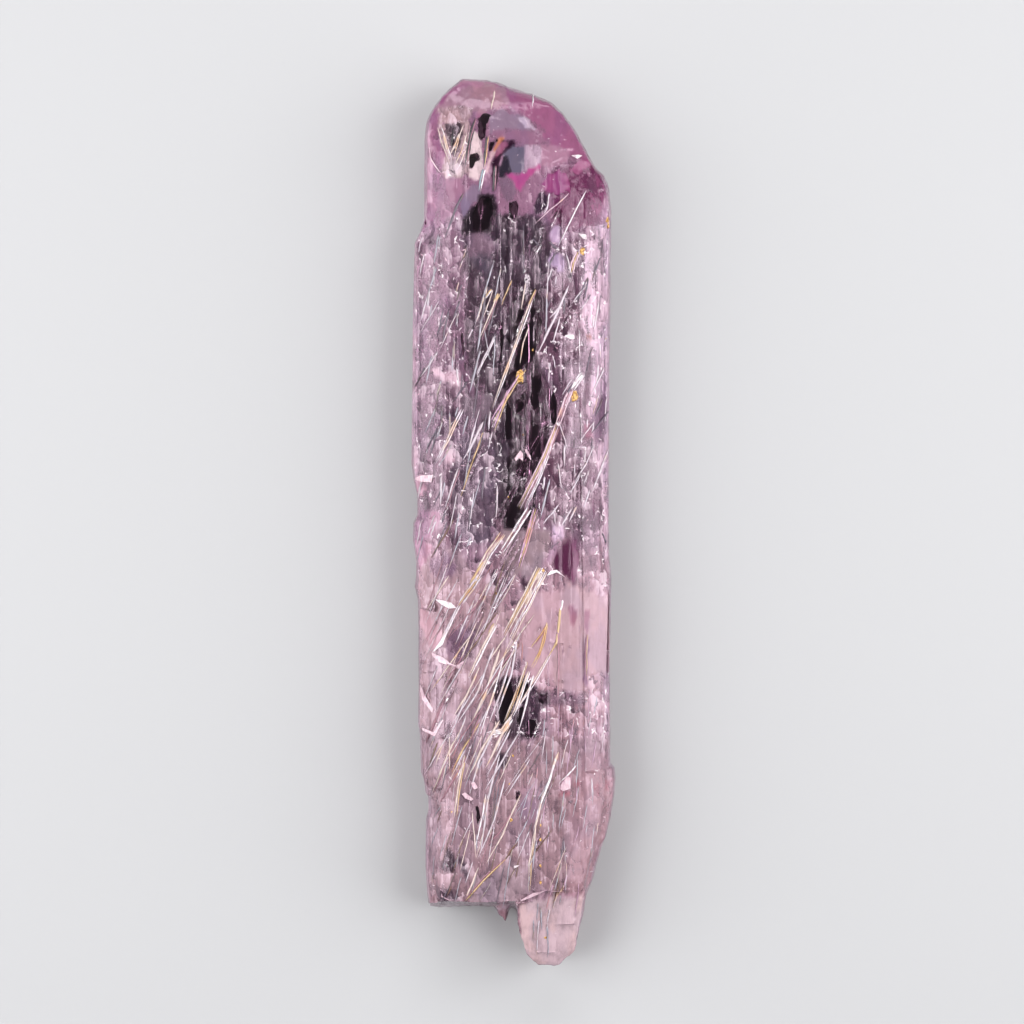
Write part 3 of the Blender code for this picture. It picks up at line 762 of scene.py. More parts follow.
def finishAndPaintedLightAt(point, normal, gap):
    # frosted colour with the painted highlights and shade in it, frosting, the three grains, and how clear a
    # window is here
    x, y, z = point / mm
    wander = noise.fractal(Vector((x * 0.9, y * 0.45, z * 0.5)), 0.9, 2.1, 4)
    ripple = noise.noise(Vector((x * 2.4, y * 1.4, z + 7.0)))
    edge = wander * 0.35 + ripple * 0.25
    upper = smoothBand(y, -12, 8)
    finishAndPaintedLight = [*blended(body["pink"], body["mauve"], upper), 0.82 - 0.2 * upper, *grains["streaked"]]
    for (left, right, low, high, corners), zone in zip(zoneBoxes, zones.values()):
        if left < x < right and low < y < high:
            colour, frost, grain = zone[:3]
            reach = min(1.0, 0.12 + 0.03 * (right - left))
            share = 1 - smoothBand(outside(x, y, corners) + edge * reach * 2.4, -0.5 * reach, 0.5 * reach)
            finishAndPaintedLight = blended(finishAndPaintedLight, (*colour, frost, *grains[grain]), share)
    # the steep sides take the painted rim highlight
    side = smoothBand(1 - abs(normal.z), 0.5, 0.85)
    sideHighlight = blended(body["sideHighlight"], body["sideHighlightDome"], smoothBand(y + edge * 6, 32, 41))
    finishAndPaintedLight = blended(finishAndPaintedLight, sideHighlight, side * 0.85)
    finishAndPaintedLight[:3] = [value * shade for value, shade in zip(finishAndPaintedLight, body["shade"])]
    return finishAndPaintedLight, (1 - smoothBand(gap + edge * 0.5, -0.28, 0.42)) * (1 - side)


def stretched(point, across, along, seed):
    # noise that is drawn out along the crystal and leans a little
    x, y, z = point / mm
    x -= 0.08 * y
    return noise.noise(Vector((x / across + seed, y / along, z / across)))


def bodyRelief(point, normal, gap):
    x, y, z = point / mm
    prism = 1 - smoothBand(abs(normal.y), 0.35, 0.75)
    dome = smoothBand(y, 34.0, 39.0)
    broken = smoothBand(-y, 43.4, 44.6)
    calm = 1 - 0.92 * (1 - smoothBand(gap, -0.1, 0.6))
    lines = stretched(point, 0.55, 9.0, 3.1) + 0.6 * stretched(point, 0.28, 4.0, 9.7)
    level = 2.6 * stretched(point, 1.7, 12.0, 17.0)
    stepped = math.floor(level) + smoothBand(level - math.floor(level), 0.72, 0.98)
    depth = body["striation"] * (0.5 + 0.5 * lines) * prism * (1 - 0.9 * dome)
    depth += body["terrace"] * (0.5 + 0.25 * stepped) * prism * (1 - dome)
    pits = noise.cell(Vector((x / 0.55, y / 1.6, z / 0.55)))
    patch = smoothBand(stretched(point, 3.0, 7.0, 31.0), -0.05, 0.35)
    depth += body["etch"] * max(0.0, pits) ** 2 * (patch * 0.9 + dome * 0.5)
    depth = body["leastDepth"] + (depth - body["leastDepth"]) * calm
    rough = noise.fractal(Vector((x, y, z)) * 1.3, 0.9, 2.1, 4)
    depth += body["hackle"] * (0.4 + 0.4 * rough) * max(broken, 0.35 * dome)
    return max(0.0, depth)


def evenFront(bm, calm):
    # softens the long steps of the front, fully in the dome, on the tongue and in the windows
    front = [vert for vert in bm.verts if vert.normal.z > 0.2]
    tree = KDTree(len(front))
    for number, vert in enumerate(front):
        tree.insert(vert.co, number)
    tree.balance()
    heights = []
    for vert in front:
        y = vert.co.y / mm
        share = max(smoothBand(y, 31, 36), smoothBand(-y, 43, 45), body["evenness"])
        wide = max(calm[vert.index], smoothBand(y, 31, 36), smoothBand(-y, 43, 45))
        share = max(share, calm[vert.index])
        reach = body["evenReach"] + (body["evenReachWide"] - body["evenReach"]) * wide
        around = tree.find_range(vert.co, reach)
        level = sum(place.z for place, _, _ in around) / len(around)
        heights.append(vert.co.z + (level - vert.co.z) * share * smoothBand(vert.normal.z, 0.2, 0.6))
    for vert, height in zip(front, heights):
        vert.co.z = height
    bm.normal_update()


def softened(bm, verts, sideways):
    bmesh.ops.smooth_vert(
        bm, verts=verts, factor=0.5, use_axis_x=sideways, use_axis_y=sideways, use_axis_z=True
    )


def pullTooth(bm):
    # the small tooth that hangs from the foot beside the tongue
    middle, reach, depth = body["tooth"]
    for vert in bm.verts:
        x, y, z = vert.co / mm
        near = 1 - smoothBand(abs(x - middle), 0.3 * reach, reach)
        low = smoothBand(-y, 44.6, 45.4) * smoothBand(z, 1.5, 3.5)
        vert.co.y -= depth * near * low * (0.7 + 0.3 * smoothBand(x, middle - 0.2, middle + 0.2)) * mm
    bm.normal_update()


def bodyMesh():
    bm = bmesh.new()
    bm.from_mesh(crystalNode.data)
    bmesh.ops.remove_doubles(bm, verts=bm.verts, dist=body["mergeReach"])
    flat = math.radians(body["flatAngle"])
    bmesh.ops.dissolve_limit(bm, angle_limit=flat, verts=bm.verts, edges=bm.edges)
    report(f"body merged: {len(bm.verts)} points, {len(bm.faces)} faces")
    low, high = cadBox
    sliced(bm, 1, planesBetween(low[1], high[1], body["cellAlong"]))
    sliced(bm, 1, planesBetween(body["fineFrom"], body["fineTo"], body["cellAlong"]))
    sliced(bm, 0, planesBetween(low[0], high[0], body["cellAcross"]))
    sliced(bm, 2, planesBetween(low[2], high[2], body["cellDeep"]))
    report(f"body sliced: {len(bm.verts)} points, {len(bm.faces)} faces")
    bm.normal_update()
    bm.verts.index_update()
    calm = []
    for vert in bm.verts:
        x, y = vert.co.xy / mm
        calm.append(1 - smoothBand(min(windowGap(x, y), windowGap(x, y, calmBoxes)), 0.4, 1.4))
    for _ in range(body["evenRounds"]):
        evenFront(bm, calm)
    report("front evened")
    colours = bm.verts.layers.float_color.new("finishAndPaintedLight")
    marks = bm.verts.layers.float_color.new("marks")
    dome = [vert for vert in bm.verts if vert.co.y > body["domeFrom"] or vert.co.y < body["tongueTo"]]
    for _ in range(body["domeRounds"]):
        softened(bm, dome, True)
    tongue = [vert for vert in bm.verts if vert.co.y < body["tongueTo"] and vert.normal.z > 0.3]
    for _ in range(body["tongueRounds"]):
        softened(bm, tongue, False)
    pullTooth(bm)
    gaps = [windowGap(vert.co.x / mm, vert.co.y / mm) for vert in bm.verts]
    depths = [bodyRelief(vert.co, vert.normal, gap) for vert, gap in zip(bm.verts, gaps)]
    moved = [vert.co - vert.normal * depth for vert, depth in zip(bm.verts, depths)]
    for vert, place, gap in zip(bm.verts, moved, gaps):
        finishAndPaintedLight, clear = finishAndPaintedLightAt(vert.co, vert.normal, gap)
        vert[colours] = finishAndPaintedLight[:4]
        vert[marks] = (*finishAndPaintedLight[4:], clear)
        place.z = min(max(place.z, low[2]), high[2])
        vert.co = place
    bmesh.ops.triangulate(bm, faces=[face for face in bm.faces if len(face.verts) > 4])
    report("body relief")
    skin = BVHTree.FromBMesh(bm)
    mesh = meshOf("crystal_body", bm)
    mesh.shade_smooth()
    mesh.set_sharp_from_angle(angle=math.radians(body["sharpAngle"]))
    return mesh, skin


bodyLook = {
    # scale, stretch, lean in degrees, detail and roughness of each noise
    "fine": (4.0, (1.0, 0.09, 1.0), 4, 4.0, 0.65),
    "coarse": (1.4, (1.0, 0.12, 1.0), 0, 4.0, 0.6),
    "leaning": (3.6, (1.0, 0.06, 1.0), 26, 3.0, 0.6),
    "cloud": (0.5, (1.0, 0.6, 1.0), 0, 5.0, 0.6),
    "hue": (0.3, (1.0, 0.5, 1.0), 0, 3.0, 0.5),
    "gate": (1.0, (1.0, 1.0, 1.0), 0, 2.0, 0.5),
    # shards, and the way of the painted shading across each
    "shardScale": 0.9,
    "shardWarp": (1.6, 2.2, 1.6),
    "shardStretch": (1.0, 0.62, 1.0),
    "shardShadingWay": (0.75, 0.6, 0.2),
    # how far the parts of the texture swing
    "fineSwing": 1.4,
    "coarseSwing": 1.8,
    "leanSwing": 2.2,
    "shardSwing": 0.7,
    "paintedShadingSwing": 0.8,
    "cloudSwing": 1.1,
    "calmest": 0.3,
    # ragged edges of the clear places
    "clearFine": 0.8,
    "clearBand": (0.40, 0.62),
    "clearShare": 0.98,
    # shares of the tones in the frosted colour
    "frostSwing": 0.7,
    "greyTint": (0.88, 0.93, 1.0),
    "greyBand": (0.48, 0.60),
    "toneShare": 0.8,
    "paleBand": (0.0, 0.55),
    "duskBand": (0.0, -0.50),
    "crackShare": 0.75,
    # frosting over the glass, and more of it where it is thick
    "cover": 0.74,
    "thickFrom": 0.9,
    "frostRoughness": 0.14,
}


def bodyMaterial():
    shader = Shader("Kunzite")
    look = bodyLook
    colour, frost = shader.attribute("finishAndPaintedLight")
    marks, clear = shader.attribute("marks")
    streak = shader.add("ShaderNodeSeparateColor", None, {"Color": marks})
    lean = Socket(shader, streak.out.node.outputs[1])
    facet = Socket(shader, streak.out.node.outputs[2])

    # streaks along the crystal, streaks that lean like the channels, and shards
    fine = shader.streaks(*look["fine"])
    coarse = shader.streaks(*look["coarse"])
    leaning = shader.streaks(*look["leaning"])
    warp = shader.add(
        "ShaderNodeTexNoise",
        None,
        {"Vector": shader.coords(), "Scale": look["shardScale"], "Detail": 3.0},
        output=1,
    )
    place = shader.add(
        "ShaderNodeVectorMath",
        {"operation": "MULTIPLY_ADD"},
        {0: warp, 1: look["shardWarp"], 2: shader.coords(look["shardStretch"])},
    )
    cells = {"Vector": place, "Scale": look["shardScale"]}
    shards = shader.add("ShaderNodeTexVoronoi", {"feature": "F1"}, cells, output=1)
    shardShade = shader.add("ShaderNodeSeparateColor", None, {"Color": shards})
    centre = Socket(shader, shards.out.node.outputs[2])
    fromCentre = shader.add("ShaderNodeVectorMath", {"operation": "SUBTRACT"}, {0: place, 1: centre})
    # a painted shading that runs light to dark across each shard
    paintedShading = shader.add(
        "ShaderNodeVectorMath", {"operation": "DOT_PRODUCT"}, {0: fromCentre, 1: look["shardShadingWay"]}, output=1
    )
    shardEdge = shader.add("ShaderNodeTexVoronoi", {"feature": "DISTANCE_TO_EDGE"}, cells)
    cloud = shader.streaks(*look["cloud"])

    window = (clear + (coarse - 0.5) + (fine - 0.5) * look["clearFine"]).band(*look["clearBand"])
    upright = (fine - 0.5) * look["fineSwing"] + (coarse - 0.5) * look["coarseSwing"]
    sloped = (leaning - 0.5) * look["leanSwing"]
    # each shard's random tone plus its painted shading
    broken = (shardShade - 0.5) * look["shardSwing"] + paintedShading * look["paintedShadingSwing"]
    busy = look["calmest"] + (streak + lean + facet).band(0.10, 0.70) * (1 - look["calmest"])
    texture = upright * streak + sloped * lean + broken * facet + (cloud - 0.5) * busy * look["cloudSwing"]
    frost = (frost + texture * look["frostSwing"]).clamped() * (1 - window * look["clearShare"])
    hue = shader.streaks(*look["hue"])
    greyed = shader.scaled(colour, look["greyTint"])
    colour = shader.mix(hue.band(*look["greyBand"]) * look["toneShare"], colour, greyed)
    # the pale and dark tones follow the texture, so they carry the shards' painted shading besides the random
    # grain
    colour = shader.mix(texture.band(*look["paleBand"]) * busy * look["toneShare"], colour, body["pale"])
    colour = shader.mix(texture.band(*look["duskBand"]) * busy * look["toneShare"], colour, body["dusk"])

    # painted glints as bright strokes, and dark cracks, where shards meet
    gate = shader.streaks(*look["gate"])
    grain = facet.band(0.30, 0.50)
    glintStrokes = shardEdge.band(0.055, 0.02) * gate.band(0.58, 0.64) * grain * (1 - window)
    cracks = shardEdge.band(0.06, 0.015) * gate.band(0.43, 0.36) * grain
    colour = shader.mix(glintStrokes, colour, body["glintStroke"])
    colour = shader.mix(cracks * look["crackShare"], colour, body["dusk"])
    frost = (frost + glintStrokes * 0.6 - cracks * 0.3).clamped()

    ripple = (fine * streak * 0.35 + leaning * lean + shardShade * facet * 0.3) * (1 - window)
    normal = shader.bump(ripple, 0.18, 0.0003)
    shader.set(
        Base_Color=body["clearColour"],
        Roughness=0.02 + frost * 0.15,
        IOR=body["ior"],
        Transmission_Weight=1.0,
        Specular_Tint=body["glossTint"],
        Normal=normal,
    )
    frosted = shader.add(
        "ShaderNodeBsdfPrincipled",
        None,
        {
            "Base Color": colour,
            "Roughness": look["frostRoughness"],
            "Specular Tint": body["glossTint"],
            "Normal": normal,
        },
    )
    glass = Socket(shader, shader.principled.outputs[0])
    cover = frost * look["cover"] + (frost - look["thickFrom"]).clamped()
    mixed = shader.add("ShaderNodeMixShader", None, {0: cover, 1: glass, 2: frosted})
    shader.tree.links.new(mixed.out, shader.output.inputs["Surface"])
    absorb = shader.add(
        "ShaderNodeVolumeAbsorption", None, {"Color": body["absorbColour"], "Density": body["absorbDensity"]}
    )
    shader.tree.links.new(absorb.out, shader.output.inputs["Volume"])
    return shader.material


def addPiece(name, mesh, material):
    piece = addObject(name, mesh)
    mesh.materials.clear()
    mesh.materials.append(material)
    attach(piece, "root")
    heights = [vert.co.z / mm for vert in mesh.vertices]
    report(f"{name}: {sum(len(face.vertices) - 2 for face in mesh.polygons)} triangles, "
           f"{min(heights):.2f} to {max(heights):.2f} mm high")
    return piece


def makeBody():
    mesh, skin = bodyMesh()
    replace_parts(addPiece("crystal_body", mesh, bodyMaterial()), "crystal")
    return skin


# the channels that etching left, seen as needles: tint, width in mm, and the way of each in mm
tints = {
    "cream": (0.60, 0.45, 0.41),
    "gold": (0.52, 0.33, 0.17),
    "pink": (0.46, 0.26, 0.37),
    "pale": (0.55, 0.45, 0.50),
    "white": (0.76, 0.66, 0.70),
    "grey": (0.34, 0.31, 0.36),
    "dusk": (0.10, 0.07, 0.10),
    "brown": (0.14, 0.07, 0.05),
    "flake": (0.58, 0.38, 0.45),
    "mulberry": (0.30, 0.13, 0.17),
    "steel": (0.22, 0.27, 0.31),
    "ink": (0.025, 0.02, 0.025),
}

needles = {
    "capLineLeft": ("cream", 0.16, [(-2.2, 50.1), (-2.6, 47.7)]),
    "capLineRight": ("pale", 0.14, [(2.3, 49.9), (2.2, 48.2)]),
    "goldLong": ("cream", 0.3, [(2.3, 26.2), (0.1, 20.1), (-2.5, 13)]),
    "goldHead": ("gold", 0.28, [(2.6, 26.9), (1.6, 24.5)]),
    "pinkUnderSpot": ("pink", 0.42, [(1.3, 17.7), (-0.8, 14.5), (-2.5, 11.6)]),
    "goldPairLeft": ("gold", 0.26, [(-2.5, 26.9), (-3.7, 25.4)]),
    "goldPairRight": ("cream", 0.3, [(-1.8, 26.1), (-2.9, 23.4), (-3.9, 21)]),
    "goldPairHead": ("gold", 0.34, [(-1.7, 26.4), (-2.2, 25.3)]),
    "whiteStreak": ("pale", 0.26, [(-2.1, 21.5), (-3.3, 19), (-4.4, 16.8)]),
    "greyLineHigh": ("pale", 0.24, [(6.4, 27.3), (4.4, 22.9), (2.5, 19)]),
    "whiteNeedle": ("white", 0.13, [(8.4, 38.4), (6.8, 35.3), (5, 31.6)]),
    "whiteTip": ("white", 0.5, [(8, 17.2), (6.7, 15.3)]),
    "pinkTubeHigh": ("flake", 0.5, [(6.7, 15.4), (6, 13.9), (5, 11)]),
    "pinkTubeMiddle": ("flake", 0.66, [(5.1, 11.2), (3.7, 7.6), (0.6, 1.4)]),
    "paleTubeMiddle": ("pale", 0.3, [(4.6, 9.5), (3.2, 5.6), (1.2, 1.2)]),
    "creamTube": ("white", 0.5, [(1.8, 1.6), (0.1, -1.2), (-1.5, -3.6)]),
    "pinkTubeLow": ("pink", 0.5, [(2.6, 1.6), (1.5, -2.1), (0.5, -5.6)]),
    "rustTubeEdge": ("brown", 0.12, [(2.8, 1.2), (1.7, -2.2), (0.7, -5.6)]),
    "paleLow": ("pale", 0.24, [(-3.5, 11.6), (-4.7, 9.2), (-5.9, 7.1)]),
    "thinGold": ("gold", 0.16, [(-3.4, 10.9), (-4.7, 7), (-6.1, 2.9)]),
    "greyWide": ("pale", 0.36, [(-5.9, 13.1), (-7.5, 9.8), (-9.1, 6.7)]),
    "greyWideLow": ("pale", 0.3, [(-6.3, 6.2), (-7.2, 3.7), (-7.9, 1.4)]),
    "mauveTube": ("pink", 0.34, [(-0.6, 15.2), (-1.6, 12.5), (-2.4, 10.5)]),
    "brownLine": ("brown", 0.16, [(-6.9, 0.4), (-8.1, -1.8), (-9.6, -4.1)]),
    "bundleHigh": ("cream", 0.62, [(-1.2, -1.3), (-2.9, -3.6), (-4.6, -7)]),
    "bundleMiddle": ("pale", 0.52, [(-3.9, -6.2), (-5.3, -8.2), (-6.6, -10)]),
    "bundleLow": ("pale", 0.4, [(-6.3, -9.6), (-7.4, -11.9), (-8.6, -14.4)]),
    "goldBundleEdge": ("gold", 0.22, [(-3.4, -4.4), (-4.3, -5.9), (-5.2, -7.3)]),
    "goldBundle": ("cream", 1.15, [(3.3, -5.4), (1.5, -9.1), (-0.9, -13.6)]),
    "goldBundleStripe": ("gold", 0.3, [(3.2, -5.3), (2, -7.4), (0.5, -10.3)]),
    "goldBundleRim": ("pale", 0.36, [(2.9, -7.1), (1.2, -10.3), (-0.5, -13.8)]),
    "thinBrown": ("brown", 0.14, [(-1.7, -10.2), (-3.3, -12.4), (-4.9, -14.7), (-6.4, -16.9)]),
    "goldLower": ("cream", 0.4, [(-2, -11.8), (-3.7, -14.9), (-5.2, -18.1)]),
    "goldLowerHead": ("gold", 0.28, [(-2.2, -11.7), (-2.9, -13.1)]),
    "goldRight": ("gold", 0.24, [(5.4, -9.8), (5, -13.8), (4, -15.6)]),
    "goldRightLow": ("cream", 0.26, [(4.2, -15.3), (2.8, -17.8), (1.3, -20.2), (-0.2, -22.5)]),
    "goldFork": ("gold", 0.26, [(3.8, -12), (3.1, -13.2), (2, -14.6)]),
    "goldForkRight": ("gold", 0.3, [(3.9, -11.6), (3.6, -13.2), (3, -15.2), (2, -17)]),
    "creamThick": ("cream", 0.34, [(1.8, -17.2), (0.7, -20.4), (-0.2, -22.6)]),
    "whiteShort": ("white", 0.18, [(5.7, -9), (5.2, -11.3)]),
    "darkThreadLeft": ("brown", 0.2, [(-8.8, -25.5), (-9.3, -26.9), (-9.9, -28.9)]),
    "goldThreadLeft": ("gold", 0.3, [(-7.4, -25.3), (-8.6, -28.4), (-10.1, -33.2)]),
    "creamThreadLeft": ("cream", 0.34, [(-6.8, -25.3), (-7.9, -27.8), (-9.3, -31.4)]),
    "creamThread": ("cream", 0.34, [(-5.6, -26.9), (-6.3, -30.8), (-6.8, -34.4)]),
    "creamThreadTop": ("gold", 0.26, [(-6.1, -28.1), (-6.6, -29.5)]),
    "rustLine": ("gold", 0.3, [(-5.6, -43.7), (-3.6, -41.4), (-0.8, -38.7)]),
    "rustLineTail": ("brown", 0.14, [(-1, -39), (-0.2, -37.8), (0.6, -36.9)]),
    "rustFork": ("cream", 0.2, [(-5.4, -43.4), (-4.7, -41.7), (-4, -39.8)]),
    "whiteDouble": ("white", 0.24, [(5.2, -26.5), (4.2, -29.6), (2.8, -33.5)]),
    "creamStem": ("cream", 0.26, [(2.5, -35.7), (1.9, -39.5), (1.8, -42.8)]),
    "creamStemHigh": ("cream", 0.18, [(3.2, -32.2), (2.6, -34.9), (2.3, -38.4)]),
    "whiteNeedleLow": ("white", 0.3, [(7.3, -28.2), (6.4, -29.2), (5.3, -30.3)]),
    "mauveThread": ("brown", 0.12, [(-1, -4.4), (-1.9, -7.4), (-2.9, -10.3)]),
    "darkStem": ("mulberry", 0.24, [(5.1, -12.2), (5.2, -16), (5.1, -20.6)]),
    "darkStemThin": ("mulberry", 0.12, [(1.0, -12.6), (1.0, -15), (0.9, -16.6)]),
    "dripStem": ("mulberry", 0.3, [(8.5, -13), (8.4, -15.6), (8.4, -18.4)]),
    "creamSweep": ("white", 0.5, [(-0.2, -22.6), (-1.3, -24.1), (-3.1, -24.5)]),
    "slitLine": ("ink", 0.26, [(-4.4, 46.7), (-4.9, 44.9), (-5.3, 42.8), (-5.6, 40.6)]),
    "slitLineRight": ("ink", 0.28, [(-3, 44.6), (-3.2, 42.8), (-3.4, 40.8)]),
    "slitLineThin": ("ink", 0.12, [(-4.6, 45.2), (-4.9, 43.9), (-5.1, 42.2)]),
    "shadeLine": ("ink", 0.3, [(-2.1, 41.2), (-2.2, 39.6), (-2.3, 38.1)]),
    "hollowRay": ("cream", 0.16, [(-6.2, 45), (-6.8, 43.6), (-7.4, 42.4)]),
    "hollowRayLeft": ("cream", 0.16, [(-8.1, 45), (-7.8, 43.4), (-7.3, 42.2)]),
    "hollowRayDark": ("ink", 0.14, [(-7, 45.4), (-7.1, 44.2), (-7.2, 43.2)]),
    "crackCap": ("dusk", 0.2, [(-5.8, 38), (-6.6, 36.4), (-7.1, 35), (-8.1, 32.6)]),
    "steelLine": ("steel", 0.34, [(-3.4, 40.8), (-3.7, 39.6), (-3.9, 38.2)]),
    "curlLine": ("flake", 0.12, [(6.4, 38), (5, 36.7), (4.2, 36.1), (2.4, 34.4)]),
    "panelEdge": ("dusk", 0.16, [(2.2, 32.7), (3.1, 31.8)]),
    "panelEdgeRight": ("dusk", 0.2, [(4.1, 32.4), (5.1, 31.5)]),
    "panelEdgeLow": ("dusk", 0.16, [(4.9, 31.2), (4.3, 30.2), (4.0, 29)]),
    "paleStrand": ("flake", 0.5, [(7.5, 31.3), (6.9, 30), (6.6, 28.6)]),
    "inkLine": ("pale", 0.14, [(4.1, 38), (4.0, 36.6), (3.5, 35.5)]),
    "purpleArc": ("dusk", 0.08, [(4.3, -3.1), (4.8, -2.6), (5.5, -2.1)]),
    "gapThreadGold": ("cream", 0.12, [(1.8, 22.6), (1.1, 20.6), (0.7, 18.2)]),
    "lowTwin": ("mulberry", 0.12, [(-2.4, -35.6), (-3.2, -37.6), (-4, -40)]),
    "lowBranch": ("mulberry", 0.14, [(-0.1, -33.4), (-1.6, -35.8), (-3.0, -37.4)]),
    "headWireLeft": ("cream", 0.12, [(-3, 27.2), (-3.7, 25), (-4.4, 22.8)]),
    "headWire": ("cream", 0.1, [(-2.4, 26.8), (-3, 25), (-3.6, 23.4)]),
    "headWireRight": ("gold", 0.12, [(-0.2, 28), (-0.9, 26.4), (-1.4, 25)]),
    "headWireLast": ("cream", 0.12, [(1.4, 27.6), (1.1, 26), (0.9, 24.4)]),
    "hollowRayOne": ("cream", 0.1, [(-8.8, 45.7), (-8.2, 43.6), (-7.3, 41.2)]),
    "hollowRayTwo": ("white", 0.09, [(-8.4, 46), (-7.8, 44), (-7.1, 41.6)]),
    "hollowRayThree": ("cream", 0.1, [(-5.8, 46), (-6.4, 44), (-7, 41.8)]),
    "hollowRayFour": ("cream", 0.12, [(-5.4, 44.9), (-6, 43), (-6.9, 41)]),
    "hollowRayFive": ("white", 0.09, [(-5.5, 43), (-6, 41.8), (-6.6, 40.6)]),
    "fanOne": ("pale", 0.2, [(-2.3, -14.4), (-4.2, -19.7), (-6.6, -23.4)]),
    "fanTwo": ("cream", 0.24, [(-1.6, -14.7), (-3.2, -19.7), (-5.2, -23.9)]),
    "fanThree": ("white", 0.16, [(-1, -15), (-2.3, -19.7), (-4, -24.9)]),
    "fanFour": ("cream", 0.2, [(-3.9, -16.7), (-5.4, -19.9), (-7, -22.5)]),
    "fanFive": ("pale", 0.18, [(-0.2, -15.6), (-1.5, -19.7), (-2.9, -23.4)]),
    "fanSix": ("pale", 0.2, [(0.4, -13.8), (-0.3, -17.6), (-1.9, -22.2)]),
    "crossWindow": ("cream", 0.26, [(1.6, -16.1), (0.1, -20.5), (-1.2, -23.4)]),
    "crossWindowThin": ("white", 0.16, [(2.3, -17.6), (1.5, -20.8), (0.5, -24.3)]),
    "lowFanOne": ("cream", 0.22, [(-1.6, -22.9), (-3.6, -26.1), (-5.3, -29.6)]),
    "lowFanTwo": ("pale", 0.2, [(-2.3, -24.3), (-3.9, -27.5), (-5.1, -31.4)]),
    "lowFanThree": ("gold", 0.16, [(-3.9, -23.2), (-5.8, -26.1), (-7.2, -29)]),
    "lowFanFour": ("cream", 0.24, [(-0.2, -22.2), (-1.9, -25.7), (-3.2, -28.4)]),
    "stemOne": ("pale", 0.16, [(-1.9, -27.8), (-3, -32.5), (-3.9, -38.4)]),
    "stemTwo": ("pale", 0.16, [(-1, -29.6), (-2.2, -34.3), (-4.2, -39)]),
    "stemThree": ("cream", 0.16, [(0.8, -31.4), (-1.2, -36), (-3.2, -39.5)]),
    "stemFour": ("white", 0.14, [(-3.2, -31.4), (-3.8, -34.9), (-4.5, -37.8)]),
}

needleForm = {
    "sides": 6,
    "rings": 8,
    "longRings": 24,
    "flatness": 0.6,
    "sunk": 0.1,
    "sunkBehind": 0.75,
    "sunkUnder": 0.38,
    # how dark the painted shade under a bundle is
    "paintedShadeUnder": 0.8,
    "swell": 1.45,
    "wobble": 0.07 * mm,
    "strand": 0.17,
    "spread": 1.3,
    "between": ("white", "mulberry", "gold"),
}


def surfaceHeight(x, y, side=1, flatEnough=0.0):
    # height in mm of the crystal's front, or of its back with side -1
    start = Vector((x * mm, y * mm, side * 0.1))
    hit, normal = skin.ray_cast(start, Vector((0, 0, -side)))[:2]
    return None if hit is None or abs(normal.z) < flatEnough else hit.z / mm


def rodMesh(rings):
    # a unit rod along Z that every needle is a copy of
    bm = bmesh.new()
    bmesh.ops.create_cone(
        bm, cap_ends=True, segments=needleForm["sides"], radius1=1.0, radius2=1.0, depth=1.0
    )
    bmesh.ops.translate(bm, verts=bm.verts, vec=(0, 0, 0.5))
    for ring in range(1, rings):
        height = (0, 0, ring / rings)
        bmesh.ops.bisect_plane(
            bm, geom=bm.verts[:] + bm.edges[:] + bm.faces[:], dist=1e-6, plane_co=height, plane_no=(0, 0, 1)
        )
    return meshOf("rod", bm)


def along(way, share):
    # a place on a way of two or more points
    spans = [math.dist(a, b) for a, b in zip(way, way[1:])]
    rest = share * sum(spans)
    for a, b, span in zip(way, way[1:], spans):
        if rest <= span or b is way[-1]:
            part = rest / span
            return a[0] + (b[0] - a[0]) * part, a[1] + (b[1] - a[1]) * part
        rest -= span


def addNeedle(bm, rod, rings, tint, width, way, seed, side=1, paintedUnderShade=1.0, sunk=None):
    places = [along(way, ring / rings) for ring in range(rings + 1)]
    finer = [surfaceHeight(*along(way, step / (3 * rings)), side) for step in range(3 * rings + 1)]
    if None in finer:
        return
    # lies on the highest ground around each ring
    heights = []
    for ring in range(rings + 1):
        around = finer[max(0, 3 * ring - 2) : 3 * ring + 3]
        sunk = sunk or (needleForm["sunk"] if side > 0 else needleForm["sunkBehind"])
        heights.append(side * (max(side * height for height in around) - sunk * width))
    known = len(bm.verts)
    bm.from_mesh(rod)
    colours = bm.verts.layers.float_color["tint"]
    bm.verts.ensure_lookup_table()
    for vert in bm.verts[known:]:
        ring = min(rings, max(0, round(vert.co.z * rings)))
        before, after = places[max(0, ring - 1)], places[min(rings, ring + 1)]
        dx, dy = after[0] - before[0], after[1] - before[1]
        length = math.hypot(dx, dy)
        dx, dy = dx / length, dy / length
        share = ring / rings
        taper = min(1.0, 0.25 + share / 0.12) * min(1.0, 0.12 + (1 - share) / 0.35)
        uneven = 1 + 0.35 * noise.noise(Vector((seed * 3.7, share * 9.0, 0.5)))
        radius = width / 2 * needleForm["swell"] * taper * uneven
        sway = needleForm["wobble"] / mm * noise.noise(Vector((seed * 1.3, share * 4.0, 8.5)))
        across = vert.co.x * radius + sway
        x = places[ring][0] - dy * across
        y = places[ring][1] + dx * across
        z = heights[ring] + vert.co.y * radius * needleForm["flatness"]
        # one side of every rod is painted darker: painted shade
        shade = paintedUnderShade * (0.3 if vert.co.x < -0.7 else 1.0)
        vert.co, colour = Vector((x, y, z)) * mm, [value * shade for value in tints[tint]]
        vert[colours] = (*colour, share)


